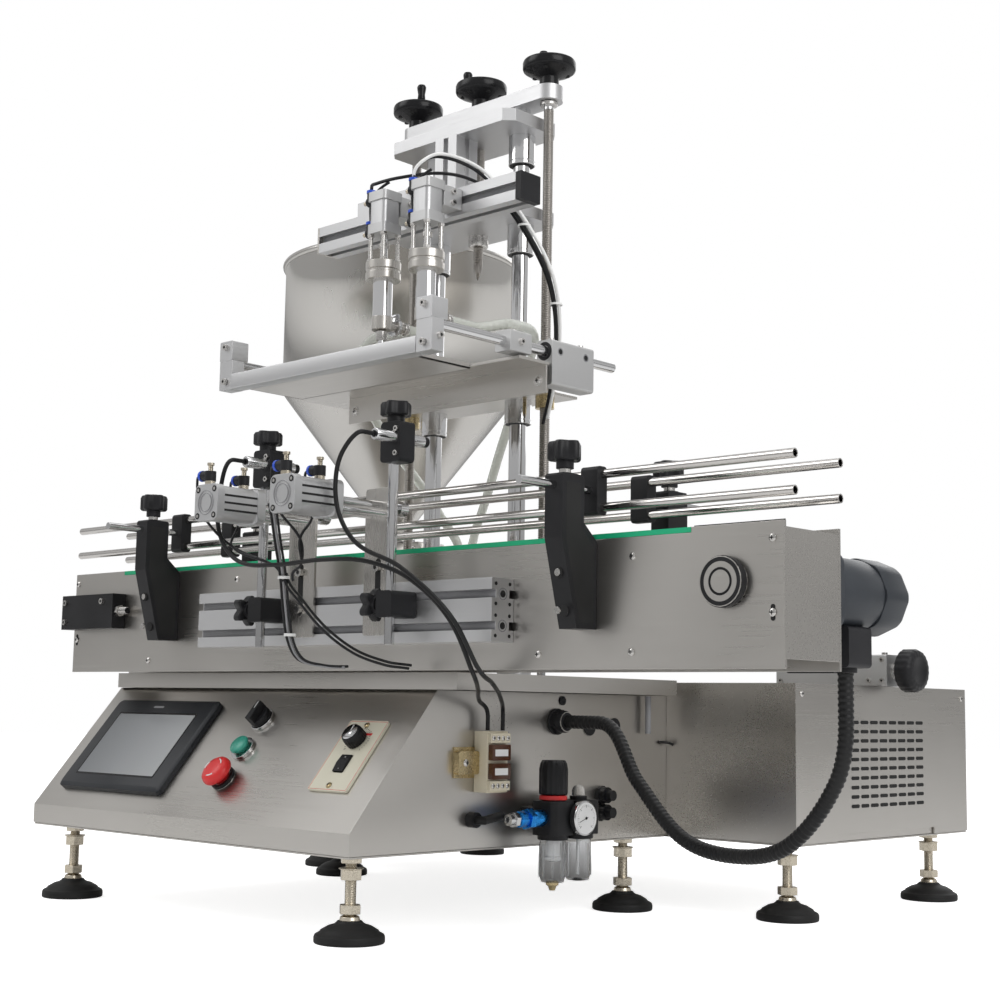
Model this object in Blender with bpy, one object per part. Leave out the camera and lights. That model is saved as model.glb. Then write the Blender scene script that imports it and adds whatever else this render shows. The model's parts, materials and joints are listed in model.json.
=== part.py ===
"""A desktop two-head piston liquid filler with its slat-chain conveyor.

Metres, +Z up. X runs along the conveyor, Y from the operator towards the back, and Z = 0 is the floor.
"""

from math import cos, hypot, pi, radians, sin, tau

import bmesh
import bpy
from mathutils import Matrix, Vector

# ---------------------------------------------------------------- clearances
GAP = 0.0003
RUNNING = 0.0004
SHEET = 0.002

# ---------------------------------------------------------------- feet
PAD_RADIUS = 0.0355
PAD_HEIGHT = 0.020
STEM_RADIUS = 0.006
NUT_RADIUS = 0.0105
FOOT_INSET = 0.036

# ---------------------------------------------------------------- front cabinet (control console)
CABINET_LEFT = -0.500
CABINET_RIGHT = 0.0735
CABINET_FLOOR = 0.0872
CONSOLE_FRONT = -0.106
CONSOLE_LIP = 0.022
SLOPE_TOP_Y = 0.0097
CABINET_TOP = 0.2503
CABINET_BACK = 0.393

# ---------------------------------------------------------------- rear cabinet
REAR_LEFT = -0.610
REAR_RIGHT = 0.2557
REAR_DEPTH = 0.3945
REAR_TOP = 0.2665
REAR_RELIEF = 0.008
REAR_TAB = 0.085

# ---------------------------------------------------------------- top plate
PLATE_LEFT = -0.4993
PLATE_RIGHT = 0.1068
PLATE_FRONT = 0.0041
PLATE_BACK = 0.370
PLATE_HEIGHT = 0.0178

# ---------------------------------------------------------------- conveyor
CONVEYOR_HALF = 0.5312
CONVEYOR_HALF_WIDTH = 0.0432
CONVEYOR_HEIGHT = 0.1225
SIDE_PLATE = 0.003
END_COVER_RISE = 0.008
END_COVER_DROP = 0.0012
STRIP_LEFT = -0.425
STRIP_RIGHT = 0.436
STRIP_HEIGHT = 0.005
SHAFT_X = 0.473
SHAFT_DROP = 0.0492
CHAIN_DROP = 0.004
CHAIN_THICKNESS = 0.004
CHAIN_SIDE_GAP = 0.002
AXLE_RADIUS = 0.010
HUB_BORE_GAP = 0.0006
CHAIN_ROLLER_GAP = 0.0012

# ---------------------------------------------------------------- drive motor
MOTOR_RADIUS = 0.036
GEARHEAD_SIZE = 0.075
GEARHEAD_LENGTH = 0.042
MOTOR_LENGTH = 0.080
FAN_COVER_LENGTH = 0.036

# ---------------------------------------------------------------- guide rails
RAIL_HALF = 0.537
RAIL_RADIUS = 0.00425
RAIL_Y = 0.035
RAIL_LOW = 0.4165
RAIL_PITCH = 0.031
BRACKET_X = 0.320
BRACKET_WIDTH = 0.022
POST_BACK = 0.062
POST_DEPTH = 0.030
POST_TOP = 0.443
CROSS_ROD_RADIUS = 0.004
CROSS_ROD_REACH = 0.138
KNOB_RADIUS = 0.017
RAIL_TRAVEL = 0.018

# ---------------------------------------------------------------- bottle stops and sensors
STOP_RAIL_HALF = 0.228
STOP_RAIL_DEPTH = 0.030
STOP_RAIL_HEIGHT = 0.060
STOP_RAIL_LOW = 0.2945
STOP_X = (-0.047, 0.073)
STOP_BODY = 0.037
STOP_BODY_LENGTH = 0.062
STOP_BODY_FRONT = -0.203
STOP_PLATE_WIDTH = 0.042
STOP_ROD_RADIUS = 0.005
STOP_TIP_RADIUS = 0.0085
STOP_STROKE = 0.030
SENSOR_POST_X = (-0.084, 0.116)
SENSOR_POST_Y = -0.099
SENSOR_POST_RADIUS = 0.005
SENSOR_CLAMP_Z = (0.4600, 0.4690)
SENSOR_TRAVEL = 0.012

# ---------------------------------------------------------------- lift unit
LIFT_X = -0.067
LIFT_Y = 0.200
COLUMN_HALF = 0.070
COLUMN_RADIUS = 0.010
SCREW_HALF = 0.112
SCREW_RADIUS = 0.006
BUSHING_RADIUS = 0.016
TOP_BAR_LOW = 0.942
TOP_BAR_THICKNESS = 0.018
TOP_BAR_HALF_DEPTH = 0.017
WHEEL_RADIUS = 0.0315
WHEEL_HEIGHT = 0.985
CRANK_TOP = 1.0135
CRANK_TURN = (-33.7, 186.6, 151.0)
CENTRE_SCREW_LOW = 0.745

# ---------------------------------------------------------------- head carriage
UPPER_PLATE_LOW = 0.909
UPPER_PLATE_THICKNESS = 0.015
MID_PLATE_LOW = 0.800
MID_PLATE_THICKNESS = 0.014
CARRIAGE_HALF = 0.103
CARRIAGE_FRONT = 0.142
CARRIAGE_BACK = 0.232
CARRIAGE_CHAMFER = 0.011
BUSHING_DROP = 0.036
POST_SIZE = 0.036
POST_FRONT = 0.141
BEAM_SIZE = 0.031
BEAM_FRONT = 0.040
BEAM_LOW = 0.7645
BEAM_LEFT = -0.178
BEAM_RIGHT = 0.151

# ---------------------------------------------------------------- dosing heads
HEAD_X = (-0.016, 0.052)
AIR_BODY = 0.028
AIR_LOW = 0.747
AIR_HEIGHT = 0.048
AIR_BORE = 0.0103
AIR_END_WALL = 0.004
TIE_ROD_RADIUS = 0.0025
FLANGE_RADIUS = 0.0195
FLANGE_LOW = 0.695
FLANGE_HEIGHT = 0.021
BARREL_RADIUS = 0.0105
BARREL_BORE = 0.0083
BARREL_CAP_LOW = 0.639
BARREL_CAP_HEIGHT = 0.016
NOZZLE_RADIUS = 0.004
NOZZLE_BORE = 0.0025
INLET_BORE = 0.0032
NOZZLE_LOW = 0.612
PISTON_ROD_RADIUS = 0.004
PISTON_STROKE = 0.028
PISTON_THICKNESS = 0.008

# ---------------------------------------------------------------- drip tray carriage
TRAY_SHEET_LOW = 0.589
TRAY_SHEET = 0.003
TRAY_SHEET_LEFT = -0.197
TRAY_SHEET_RIGHT = 0.166
TRAY_SHEET_TAIL = 0.064
TRAY_FLANGE_Y = 0.067
TRAY_FLANGE_LEFT = -0.143
TRAY_FLANGE_HEIGHT = 0.030
TRAY_SHEET_BACK = 0.235
TRAY_BUSHING_DROP = 0.028
TRAY_SHAFT_X = (-0.158, 0.157)
TRAY_SHAFT_Z = 0.6055
TRAY_SHAFT_RADIUS = 0.0055
TRAY_SHAFT_BACK = 0.185
TRAY_BAR_FRONT = -0.102
TRAY_BAR_SIZE = 0.017
TRAY_BAR_LOW = 0.5755
TRAY_BLOCK_SIZE = 0.022
TRAY_GUIDE_FRONT = 0.074
TRAY_GUIDE_LENGTH = 0.067
TRAY_GUIDE_WIDTH = 0.022
TRAY_GUIDE_DROP = 0.020
TRAY_PLATE_BACK = -0.012
TRAY_RIM = 0.006

# ---------------------------------------------------------------- hopper
HOPPER_X = -0.460
HOPPER_Y = 0.440
HOPPER_RADIUS = 0.172
HOPPER_RIM = 0.8735
HOPPER_WALL_LOW = 0.685
HOPPER_CONE_LOW = 0.489
HOPPER_OUTLET_RADIUS = 0.020
HOPPER_WALL = 0.002
RIM_RADIUS = 0.005
MANIFOLD_LOW = 0.425
MANIFOLD_HEIGHT = 0.040
MANIFOLD_WIDTH = 0.150
MANIFOLD_DEPTH = 0.050
STAND_SIZE = 0.060

# ---------------------------------------------------------------- operator panel (places along the slope)
SCREEN_LEFT = -0.4666
SCREEN_LOW = 0.0252
SCREEN_WIDTH = 0.204
SCREEN_HEIGHT = 0.132
SCREEN_PROUD = 0.009
BUTTON_X = -0.172
STOP_BUTTON_UP = 0.0539
START_BUTTON_UP = 0.0944
SELECTOR_UP = 0.1356
BUTTON_STEM_RADIUS = 0.009
STOP_BUTTON_RADIUS = 0.018
START_BUTTON_RADIUS = 0.0115
SELECTOR_RADIUS = 0.013
SPEED_PANEL_LEFT = -0.0245
SPEED_PANEL_WIDTH = 0.060
SPEED_PANEL_LOW = 0.0467
SPEED_PANEL_LENGTH = 0.091
SPEED_KNOB_UP = 0.1113
ROCKER_UP = 0.081
SPEED_KNOB_RADIUS = 0.012
SPEED_SHAFT_RADIUS = 0.003

# ---------------------------------------------------------------- side equipment
AIR_UNIT_X = 0.110
AIR_UNIT_Y = 0.150
AIR_UNIT_LOW = 0.100
AIR_UNIT_BODY = 0.036
OILER_OFFSET = 0.041
BOWL_RADIUS = 0.015
GAUGE_RADIUS = 0.0185
GAUGE_OFFSET = 0.005
METERING_Y = 0.600
METERING_LEFT = 0.105
METERING_HEIGHT = 0.038
METERING_DEPTH = 0.040
METERING_KNOB_RADIUS = 0.026

# ---------------------------------------------------------------- dependent places
TOP_PLATE_LOW = CABINET_TOP + GAP
TOP_PLATE_TOP = TOP_PLATE_LOW + PLATE_HEIGHT
CONVEYOR_LOW = TOP_PLATE_TOP + GAP
CONVEYOR_TOP = CONVEYOR_LOW + CONVEYOR_HEIGHT
PLATE_INSIDE = CONVEYOR_HALF_WIDTH - SIDE_PLATE
SHAFT_Z = CONVEYOR_TOP - SHAFT_DROP
CHAIN_TOP = CONVEYOR_TOP - CHAIN_DROP
CHAIN_OUTER = CHAIN_TOP - SHAFT_Z
CHAIN_HALF_WIDTH = PLATE_INSIDE - CHAIN_SIDE_GAP
ROLLER_RADIUS = CHAIN_OUTER - CHAIN_THICKNESS - CHAIN_ROLLER_GAP
REAR_FRONT = CABINET_BACK + GAP
REAR_BACK = REAR_FRONT + REAR_DEPTH
RAIL_HIGH = RAIL_LOW + RAIL_PITCH
CROSS_ROD_Z = RAIL_LOW + RAIL_PITCH / 2
STOP_RAIL_BACK = -CONVEYOR_HALF_WIDTH - GAP
STOP_RAIL_FRONT = STOP_RAIL_BACK - STOP_RAIL_DEPTH
STOP_PLATE_BACK = STOP_RAIL_FRONT - GAP
COLUMN_X = (LIFT_X - COLUMN_HALF, LIFT_X + COLUMN_HALF)
SCREW_X = (LIFT_X - SCREW_HALF, LIFT_X, LIFT_X + SCREW_HALF)
TOP_BAR_TOP = TOP_BAR_LOW + TOP_BAR_THICKNESS
BEAM_BACK = BEAM_FRONT + BEAM_SIZE
UPPER_PLATE_TOP = UPPER_PLATE_LOW + UPPER_PLATE_THICKNESS
MID_PLATE_TOP = MID_PLATE_LOW + MID_PLATE_THICKNESS
AIR_TOP = AIR_LOW + AIR_HEIGHT
FLANGE_TOP = FLANGE_LOW + FLANGE_HEIGHT
BARREL_FLOOR = BARREL_CAP_LOW + BARREL_CAP_HEIGHT
TRAY_SHEET_TOP = TRAY_SHEET_LOW + TRAY_SHEET
SLOPE_LENGTH = hypot(SLOPE_TOP_Y - CONSOLE_FRONT, CABINET_TOP - CABINET_FLOOR - CONSOLE_LIP)
SLOPE_Y = (SLOPE_TOP_Y - CONSOLE_FRONT) / SLOPE_LENGTH
SLOPE_Z = (CABINET_TOP - CABINET_FLOOR - CONSOLE_LIP) / SLOPE_LENGTH
LIP_TOP = CABINET_FLOOR + CONSOLE_LIP
BEAM_TOP = BEAM_LOW + BEAM_SIZE
BED_TOP = CHAIN_TOP - CHAIN_THICKNESS - GAP
BED_LOW = BED_TOP - 0.0125
BED_WALL_INSIDE = CHAIN_HALF_WIDTH + 0.0004
STOP_AXIS_Z = CROSS_ROD_Z
STOP_BODY_BACK = STOP_BODY_FRONT + STOP_BODY_LENGTH
STOP_TIP_BACK = -RAIL_Y - RAIL_RADIUS - 0.005
METERING_RIGHT = REAR_RIGHT + 0.008
METERING_Z = REAR_TOP + GAP + METERING_HEIGHT / 2
COLUMN_BORE = COLUMN_RADIUS + RUNNING
SCREW_BORE = SCREW_RADIUS + RUNNING
TRAY_GUIDE_BACK = TRAY_GUIDE_FRONT + TRAY_GUIDE_LENGTH
MANIFOLD_TOP = MANIFOLD_LOW + MANIFOLD_HEIGHT

# ---------------------------------------------------------------- routes of the hoses and cables
TRAY_SHEET_FRONT = 0.026
TRAY_STOP_FRONT = 0.010
TRAY_STOP_BACK = 0.042
INLET_Z = BARREL_CAP_LOW + 0.008
INLET_BACK = 0.036
HOSE_DIAMETER = 0.012
HOSE_START_X = HOPPER_X + MANIFOLD_WIDTH / 2 + 0.012
HOSE_Z = MANIFOLD_LOW + MANIFOLD_HEIGHT / 2
CONDUIT_DIAMETER = 0.015
CONDUIT_START = (SHAFT_X + 0.010, 0.128, 0.2697)
CONDUIT_GLAND = (CABINET_RIGHT + 0.017, 0.194, 0.219)
CONDUIT_STOPS = (
    (0.470, 0.131, 0.170),
    (0.415, 0.139, 0.111),
    (0.351, 0.1495, 0.095),
    (0.275, 0.161, 0.106),
    (0.205, 0.176, 0.158),
)
SENSOR_CABLE_DIAMETER = 0.0045
SENSOR_CABLE_1 = (
    (SENSOR_POST_X[0] + 0.010, SENSOR_POST_Y - 0.0365, SENSOR_CLAMP_Z[0] + 0.024),
    (-0.084, -0.158, 0.450),
    (-0.090, -0.152, 0.408),
    (-0.060, -0.150, 0.378),
    (0.000, -0.150, 0.371),
    (0.070, -0.147, 0.373),
    (0.120, -0.136, 0.370),
    (0.165, -0.122, 0.353),
    (0.203, -0.106, 0.316),
    (0.200, -0.070, 0.268),
    (0.155, -0.015, 0.252),
    (0.104, 0.040, 0.240),
    (0.086, 0.072, 0.2095),
)
SENSOR_CABLE_2 = (
    (SENSOR_POST_X[1] + 0.010, SENSOR_POST_Y - 0.0365, SENSOR_CLAMP_Z[1] + 0.024),
    (0.110, -0.160, 0.474),
    (0.0985, -0.158, 0.444),
    (0.101, -0.153, 0.412),
    (0.120, -0.146, 0.385),
    (0.167, -0.134, 0.362),
    (0.212, -0.113, 0.318),
    (0.210, -0.072, 0.270),
    (0.168, -0.008, 0.257),
    (0.116, 0.060, 0.2415),
    (0.0935, 0.087, 0.2095),
)
PRODUCT_HOSE_1 = (
    (HOSE_START_X, HOPPER_Y - 0.012, HOSE_Z),
    (-0.262, 0.330, 0.492),
    (-0.240, 0.200, 0.588),
    (-0.205, 0.132, 0.645),
    (-0.150, 0.104, 0.666),
    (-0.085, 0.088, 0.664),
    (HEAD_X[0], INLET_BACK + 0.0005, INLET_Z),
)
PRODUCT_HOSE_2 = (
    (HOSE_START_X, HOPPER_Y + 0.012, HOSE_Z),
    (-0.280, 0.425, 0.482),
    (-0.160, 0.345, 0.570),
    (-0.055, 0.275, 0.645),
    (0.026, 0.200, 0.664),
    (0.066, 0.115, 0.656),
    (HEAD_X[1], INLET_BACK + 0.0005, INLET_Z),
)

# The whole machine stands with its footprint centred on the origin.
LEFT_END = HOPPER_X - HOPPER_RADIUS - RIM_RADIUS
CENTRE = Vector(((LEFT_END + RAIL_HALF) / 2, (STOP_BODY_FRONT + REAR_BACK) / 2, 0.0))

AXES = {"X": (1, 2, 0), "Y": (0, 2, 1), "Z": (0, 1, 2)}
SHARP = 0.6
STEEL = ((0.62, 0.60, 0.57), 1.0, 0.34)
ALUMINIUM = ((0.78, 0.78, 0.79), 1.0, 0.38)
CHROME = ((0.82, 0.82, 0.83), 1.0, 0.12)
BLACK = ((0.02, 0.02, 0.022), 0.0, 0.45)
GREEN = ((0.01, 0.32, 0.09), 0.0, 0.45)
RED = ((0.70, 0.02, 0.02), 0.0, 0.35)
CREAM = ((0.80, 0.77, 0.68), 0.0, 0.50)
SLATE = ((0.16, 0.18, 0.21), 0.2, 0.50)
CLEAR = ((0.80, 0.84, 0.82), 0.0, 0.20)
WHITE = ((0.86, 0.86, 0.85), 0.0, 0.45)


# ---------------------------------------------------------------- building blocks
def loft(rings, closed=False):
    """A solid from rings of equal count, each a list of points; a ring of one point closes to a tip."""
    mesh = bmesh.new()
    made = [[mesh.verts.new(point) for point in ring] for ring in rings]
    pairs = list(zip(made, made[1:]))
    if closed:
        pairs.append((made[-1], made[0]))
    for low, high in pairs:
        count = max(len(low), len(high))
        for i in range(count):
            j = (i + 1) % count
            if len(low) == 1:
                mesh.faces.new((low[0], high[i], high[j]))
            elif len(high) == 1:
                mesh.faces.new((low[i], low[j], high[0]))
            else:
                mesh.faces.new((low[i], low[j], high[j], high[i]))
    if not closed:
        for ring in (made[0], made[-1]):
            if len(ring) > 2:
                mesh.faces.new(ring)
    bmesh.ops.recalc_face_normals(mesh, faces=mesh.faces)
    return mesh


def along(axis, first, second, distance):
    """The point at two coordinates across an axis and one distance along it."""
    point = [0.0, 0.0, 0.0]
    a, b, c = AXES[axis]
    point[a] = first
    point[b] = second
    point[c] = distance
    return point


def prism(axis, outline, start, end):
    """An outline across the axis, drawn out from start to end."""
    return loft([[along(axis, a, b, at) for a, b in outline] for at in (start, end)])


def box(left, right, front, back, low, high):
    corners = ((left, front), (right, front), (right, back), (left, back))
    return prism("Z", corners, low, high)


def circle(radius, sides, turn=0.0):
    return [(radius * cos(tau * i / sides + turn), radius * sin(tau * i / sides + turn)) for i in range(sides)]


def lathe(axis, centre, profile, sides=20, closed=False):
    """A profile of (radius, distance) pairs turned round an axis."""
    rings = []
    for radius, at in profile:
        if radius == 0:
            rings.append([along(axis, centre[0], centre[1], at)])
        else:
            rings.append([along(axis, centre[0] + a, centre[1] + b, at) for a, b in circle(radius, sides)])
    return loft(rings, closed)


def rod(axis, centre, radius, start, end, sides=12):
    return lathe(axis, centre, ((radius, start), (radius, end)), sides)


def rounded(left, right, low, high, radius, steps=3):
    """A rectangle's outline with rounded corners."""
    corners = (
        (right - radius, high - radius, 0.0),
        (left + radius, high - radius, pi / 2),
        (left + radius, low + radius, pi),
        (right - radius, low + radius, 1.5 * pi),
    )
    points = []
    for a, b, turn in corners:
        for i in range(steps + 1):
            angle = turn + pi / 2 * i / steps
            points.append((a + radius * cos(angle), b + radius * sin(angle)))
    return points


def panel_point(across, up, out):
    """A point by its place on the console's slope: across, up the slope, and out from it."""
    return Vector((across, CONSOLE_FRONT + up * SLOPE_Y - out * SLOPE_Z, LIP_TOP + up * SLOPE_Z + out * SLOPE_Y))


PANEL = Matrix(
    (
        (1, 0, 0, 0),
        (0, SLOPE_Y, -SLOPE_Z, CONSOLE_FRONT),
        (0, SLOPE_Z, SLOPE_Y, LIP_TOP),
        (0, 0, 0, 1),
    )
)


def on_panel(mesh):
    mesh.transform(PANEL)
    return mesh


def material(name, look):
    colour, metallic, roughness = look
    made = bpy.data.materials.new(name)
    made.use_nodes = True
    shader = made.node_tree.nodes["Principled BSDF"]
    shader.inputs["Base Color"].default_value = (*colour, 1.0)
    shader.inputs["Metallic"].default_value = metallic
    shader.inputs["Roughness"].default_value = roughness
    return made


def place(name, mesh):
    data = bpy.data.meshes.new(name)
    mesh.to_mesh(data)
    mesh.free()
    made = bpy.data.objects.new(name, data)
    bpy.context.scene.collection.objects.link(made)
    return made


def combine(target, tool, operation):
    modifier = target.modifiers.new(operation, "BOOLEAN")
    modifier.operation = operation
    modifier.solver = "EXACT"
    modifier.object = tool
    tool.hide_render = True
    tool.display_type = "WIRE"


def piece(name, look, adds, cuts=(), origin=(0, 0, 0)):
    """One solid from the shapes added and the shapes cut away, with its origin where it moves."""
    base = place(name, adds[0])
    tools = []
    for index, mesh in enumerate(adds[1:]):
        tools.append(place(f"{name}_add_{index}", mesh))
        combine(base, tools[-1], "UNION")
    for index, mesh in enumerate(cuts):
        tools.append(place(f"{name}_cut_{index}", mesh))
        combine(base, tools[-1], "DIFFERENCE")
    bpy.context.view_layer.update()
    graph = bpy.context.evaluated_depsgraph_get()
    solid = bpy.data.meshes.new_from_object(base.evaluated_get(graph))
    base.modifiers.clear()
    for tool in tools:
        bpy.data.objects.remove(tool)
    shape = bmesh.new()
    shape.from_mesh(solid)
    for face in shape.faces:
        face.smooth = True
    for edge in shape.edges:
        edge.smooth = edge.is_manifold and edge.calc_face_angle(0.0) < SHARP
    shape.transform(Matrix.Translation(-Vector(origin)))
    shape.to_mesh(solid)
    shape.free()
    base.data = solid
    base.data.materials.clear()
    base.data.materials.append(material(name, look))
    base.location = Vector(origin) - CENTRE
    return base


def smooth_route(stops, leaves, arrives, lead, spacing):
    """Evenly spaced points on a smooth curve through the stops, straight for a lead at each end."""
    leaves = Vector(leaves)
    arrives = Vector(arrives)
    inner = [Vector(stop) for stop in stops]
    marks = [inner[0], inner[0] + lead * leaves, *inner[1:-1], inner[-1] - lead * arrives, inner[-1]]
    turns = [(c - a).normalized() for a, c in zip(marks, marks[2:])]
    turns = [leaves, leaves, *turns[1:-1], arrives, arrives]
    dense = [marks[0]]
    for i in range(len(marks) - 1):
        start, end = marks[i], marks[i + 1]
        reach = (end - start).length
        for k in range(1, 25):
            t = k / 24
            bend = (2 * t**3 - 3 * t**2 + 1) * start + (3 * t**2 - 2 * t**3) * end
            dense.append(bend + reach * ((t**3 - 2 * t**2 + t) * turns[i] + (t**3 - t**2) * turns[i + 1]))
    length = sum((q - p).length for p, q in zip(dense, dense[1:]))
    count = round(length / spacing)
    points = [dense[0]]
    walked = 0.0
    for p, q in zip(dense, dense[1:]):
        step = (q - p).length
        while len(points) < count and walked + step >= length * len(points) / count:
            points.append(p.lerp(q, (length * len(points) / count - walked) / step))
        walked += step
    points.append(dense[-1])
    return points


def cord(name, look, diameter, stops, leaves, arrives):
    """A round cord along a smooth route, closed at both ends."""
    curve = bpy.data.curves.new(name, "CURVE")
    curve.dimensions = "3D"
    curve.bevel_depth = diameter / 2
    curve.bevel_resolution = 2
    curve.use_fill_caps = True
    points = smooth_route(stops, leaves, arrives, 3 * diameter, 2.7 * diameter)
    spline = curve.splines.new("POLY")
    spline.points.add(len(points) - 1)
    for held, point in zip(spline.points, points):
        held.co = (*(point - CENTRE), 1.0)
    curve.materials.append(material(name, look))
    made = bpy.data.objects.new(name, curve)
    bpy.context.scene.collection.objects.link(made)
    return made


# ---------------------------------------------------------------- cabinets and feet
def foot(x, y, top):
    """A levelling foot: domed pad, stem and two nuts, up to the base plate."""
    pad = ((PAD_RADIUS, 0.0), (PAD_RADIUS, 0.007), (0.012, PAD_HEIGHT))
    shapes = [lathe("Z", (x, y), pad, 16), rod("Z", (x, y), STEM_RADIUS, PAD_HEIGHT - 0.002, top, 8)]
    for low, high in ((0.028, 0.037), (0.061, 0.073)):
        shapes.append(rod("Z", (x, y), NUT_RADIUS, low, high, 6))
    return shapes


def base_plate(name, left, right, front, back):
    top = CABINET_FLOOR - GAP
    shapes = [box(left + SHEET / 2, right - SHEET / 2, front + SHEET / 2, back - SHEET / 2, top - SHEET, top)]
    for x in (left + FOOT_INSET, right - FOOT_INSET):
        for y in (front + FOOT_INSET, back - FOOT_INSET):
            shapes += foot(x, y, top - SHEET / 2)
    piece(name, STEEL, shapes)


def cabinets():
    outline = (
        (CONSOLE_FRONT, CABINET_FLOOR),
        (CABINET_BACK, CABINET_FLOOR),
        (CABINET_BACK, CABINET_TOP),
        (SLOPE_TOP_Y, CABINET_TOP),
        (CONSOLE_FRONT, LIP_TOP),
    )
    inside = (
        (CONSOLE_FRONT + SHEET, CABINET_FLOOR - 0.01),
        (CABINET_BACK - SHEET, CABINET_FLOOR - 0.01),
        (CABINET_BACK - SHEET, CABINET_TOP - SHEET),
        (SLOPE_TOP_Y + SHEET * 0.6, CABINET_TOP - SHEET),
        (CONSOLE_FRONT + SHEET, LIP_TOP - SHEET),
    )
    shapes = [prism("X", outline, CABINET_LEFT, CABINET_RIGHT)]
    cuts = [prism("X", inside, CABINET_LEFT + SHEET, CABINET_RIGHT - SHEET)]
    for up, radius in ((STOP_BUTTON_UP, 0.0145), (START_BUTTON_UP, 0.0145), (SELECTOR_UP, 0.0145)):
        shapes.append(on_panel(rod("Z", (BUTTON_X, up), radius, -0.002, 0.004, 20)))
        cuts.append(on_panel(rod("Z", (BUTTON_X, up), BUTTON_STEM_RADIUS + RUNNING, -0.020, 0.006, 16)))
    rocker = rounded(*rocker_pocket(), 0.001, 1)
    cuts.append(on_panel(prism("Z", rocker, -0.014, 0.004)))
    knob = (SPEED_PANEL_LEFT + SPEED_PANEL_WIDTH / 2, SPEED_KNOB_UP)
    cuts.append(on_panel(rod("Z", knob, SPEED_SHAFT_RADIUS + RUNNING, -0.014, 0.004, 12)))
    gland = (CONDUIT_GLAND[1], CONDUIT_GLAND[2])
    shapes.append(rod("X", gland, 0.011, CABINET_RIGHT - 0.002, CONDUIT_GLAND[0] - GAP, 16))
    piece("front_cabinet", STEEL, shapes, cuts)
    base_plate("front_base_with_feet", CABINET_LEFT, CABINET_RIGHT, CONSOLE_FRONT, CABINET_BACK)

    body = box(REAR_LEFT, REAR_RIGHT, REAR_FRONT, REAR_BACK, CABINET_FLOOR, REAR_TOP)
    relief_low = CABINET_FLOOR - 0.001
    relief_high = CABINET_FLOOR + REAR_RELIEF
    cuts = [
        box(
            REAR_LEFT + SHEET,
            REAR_RIGHT - SHEET,
            REAR_FRONT + SHEET,
            REAR_BACK - SHEET,
            CABINET_FLOOR - 0.01,
            REAR_TOP - SHEET,
        ),
        box(REAR_LEFT + REAR_TAB, REAR_RIGHT - REAR_TAB, REAR_BACK - 0.003, REAR_BACK + 0.01, relief_low, relief_high),
        box(REAR_RIGHT - 0.003, REAR_RIGHT + 0.01, REAR_FRONT + REAR_TAB, REAR_BACK - REAR_TAB, relief_low, relief_high),
    ]
    piece("rear_cabinet", STEEL, [body], cuts)
    base_plate("rear_base_with_feet", REAR_LEFT, REAR_RIGHT, REAR_FRONT, REAR_BACK)

    plate = box(PLATE_LEFT, PLATE_RIGHT, PLATE_FRONT, PLATE_BACK, TOP_PLATE_LOW, TOP_PLATE_TOP)
    inside = box(
        PLATE_LEFT + SHEET,
        PLATE_RIGHT - SHEET,
        PLATE_FRONT + SHEET,
        PLATE_BACK - SHEET,
        TOP_PLATE_LOW - 0.001,
        TOP_PLATE_TOP - SHEET,
    )
    piece("top_plate", STEEL, [plate], [inside])


# ---------------------------------------------------------------- operator panel
def rocker_pocket():
    """The rocker's pocket on the slope: left, right, low and high."""
    x = SPEED_PANEL_LEFT + SPEED_PANEL_WIDTH / 2
    return x - 0.008, x + 0.008, ROCKER_UP - 0.0115, ROCKER_UP + 0.0115


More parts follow.
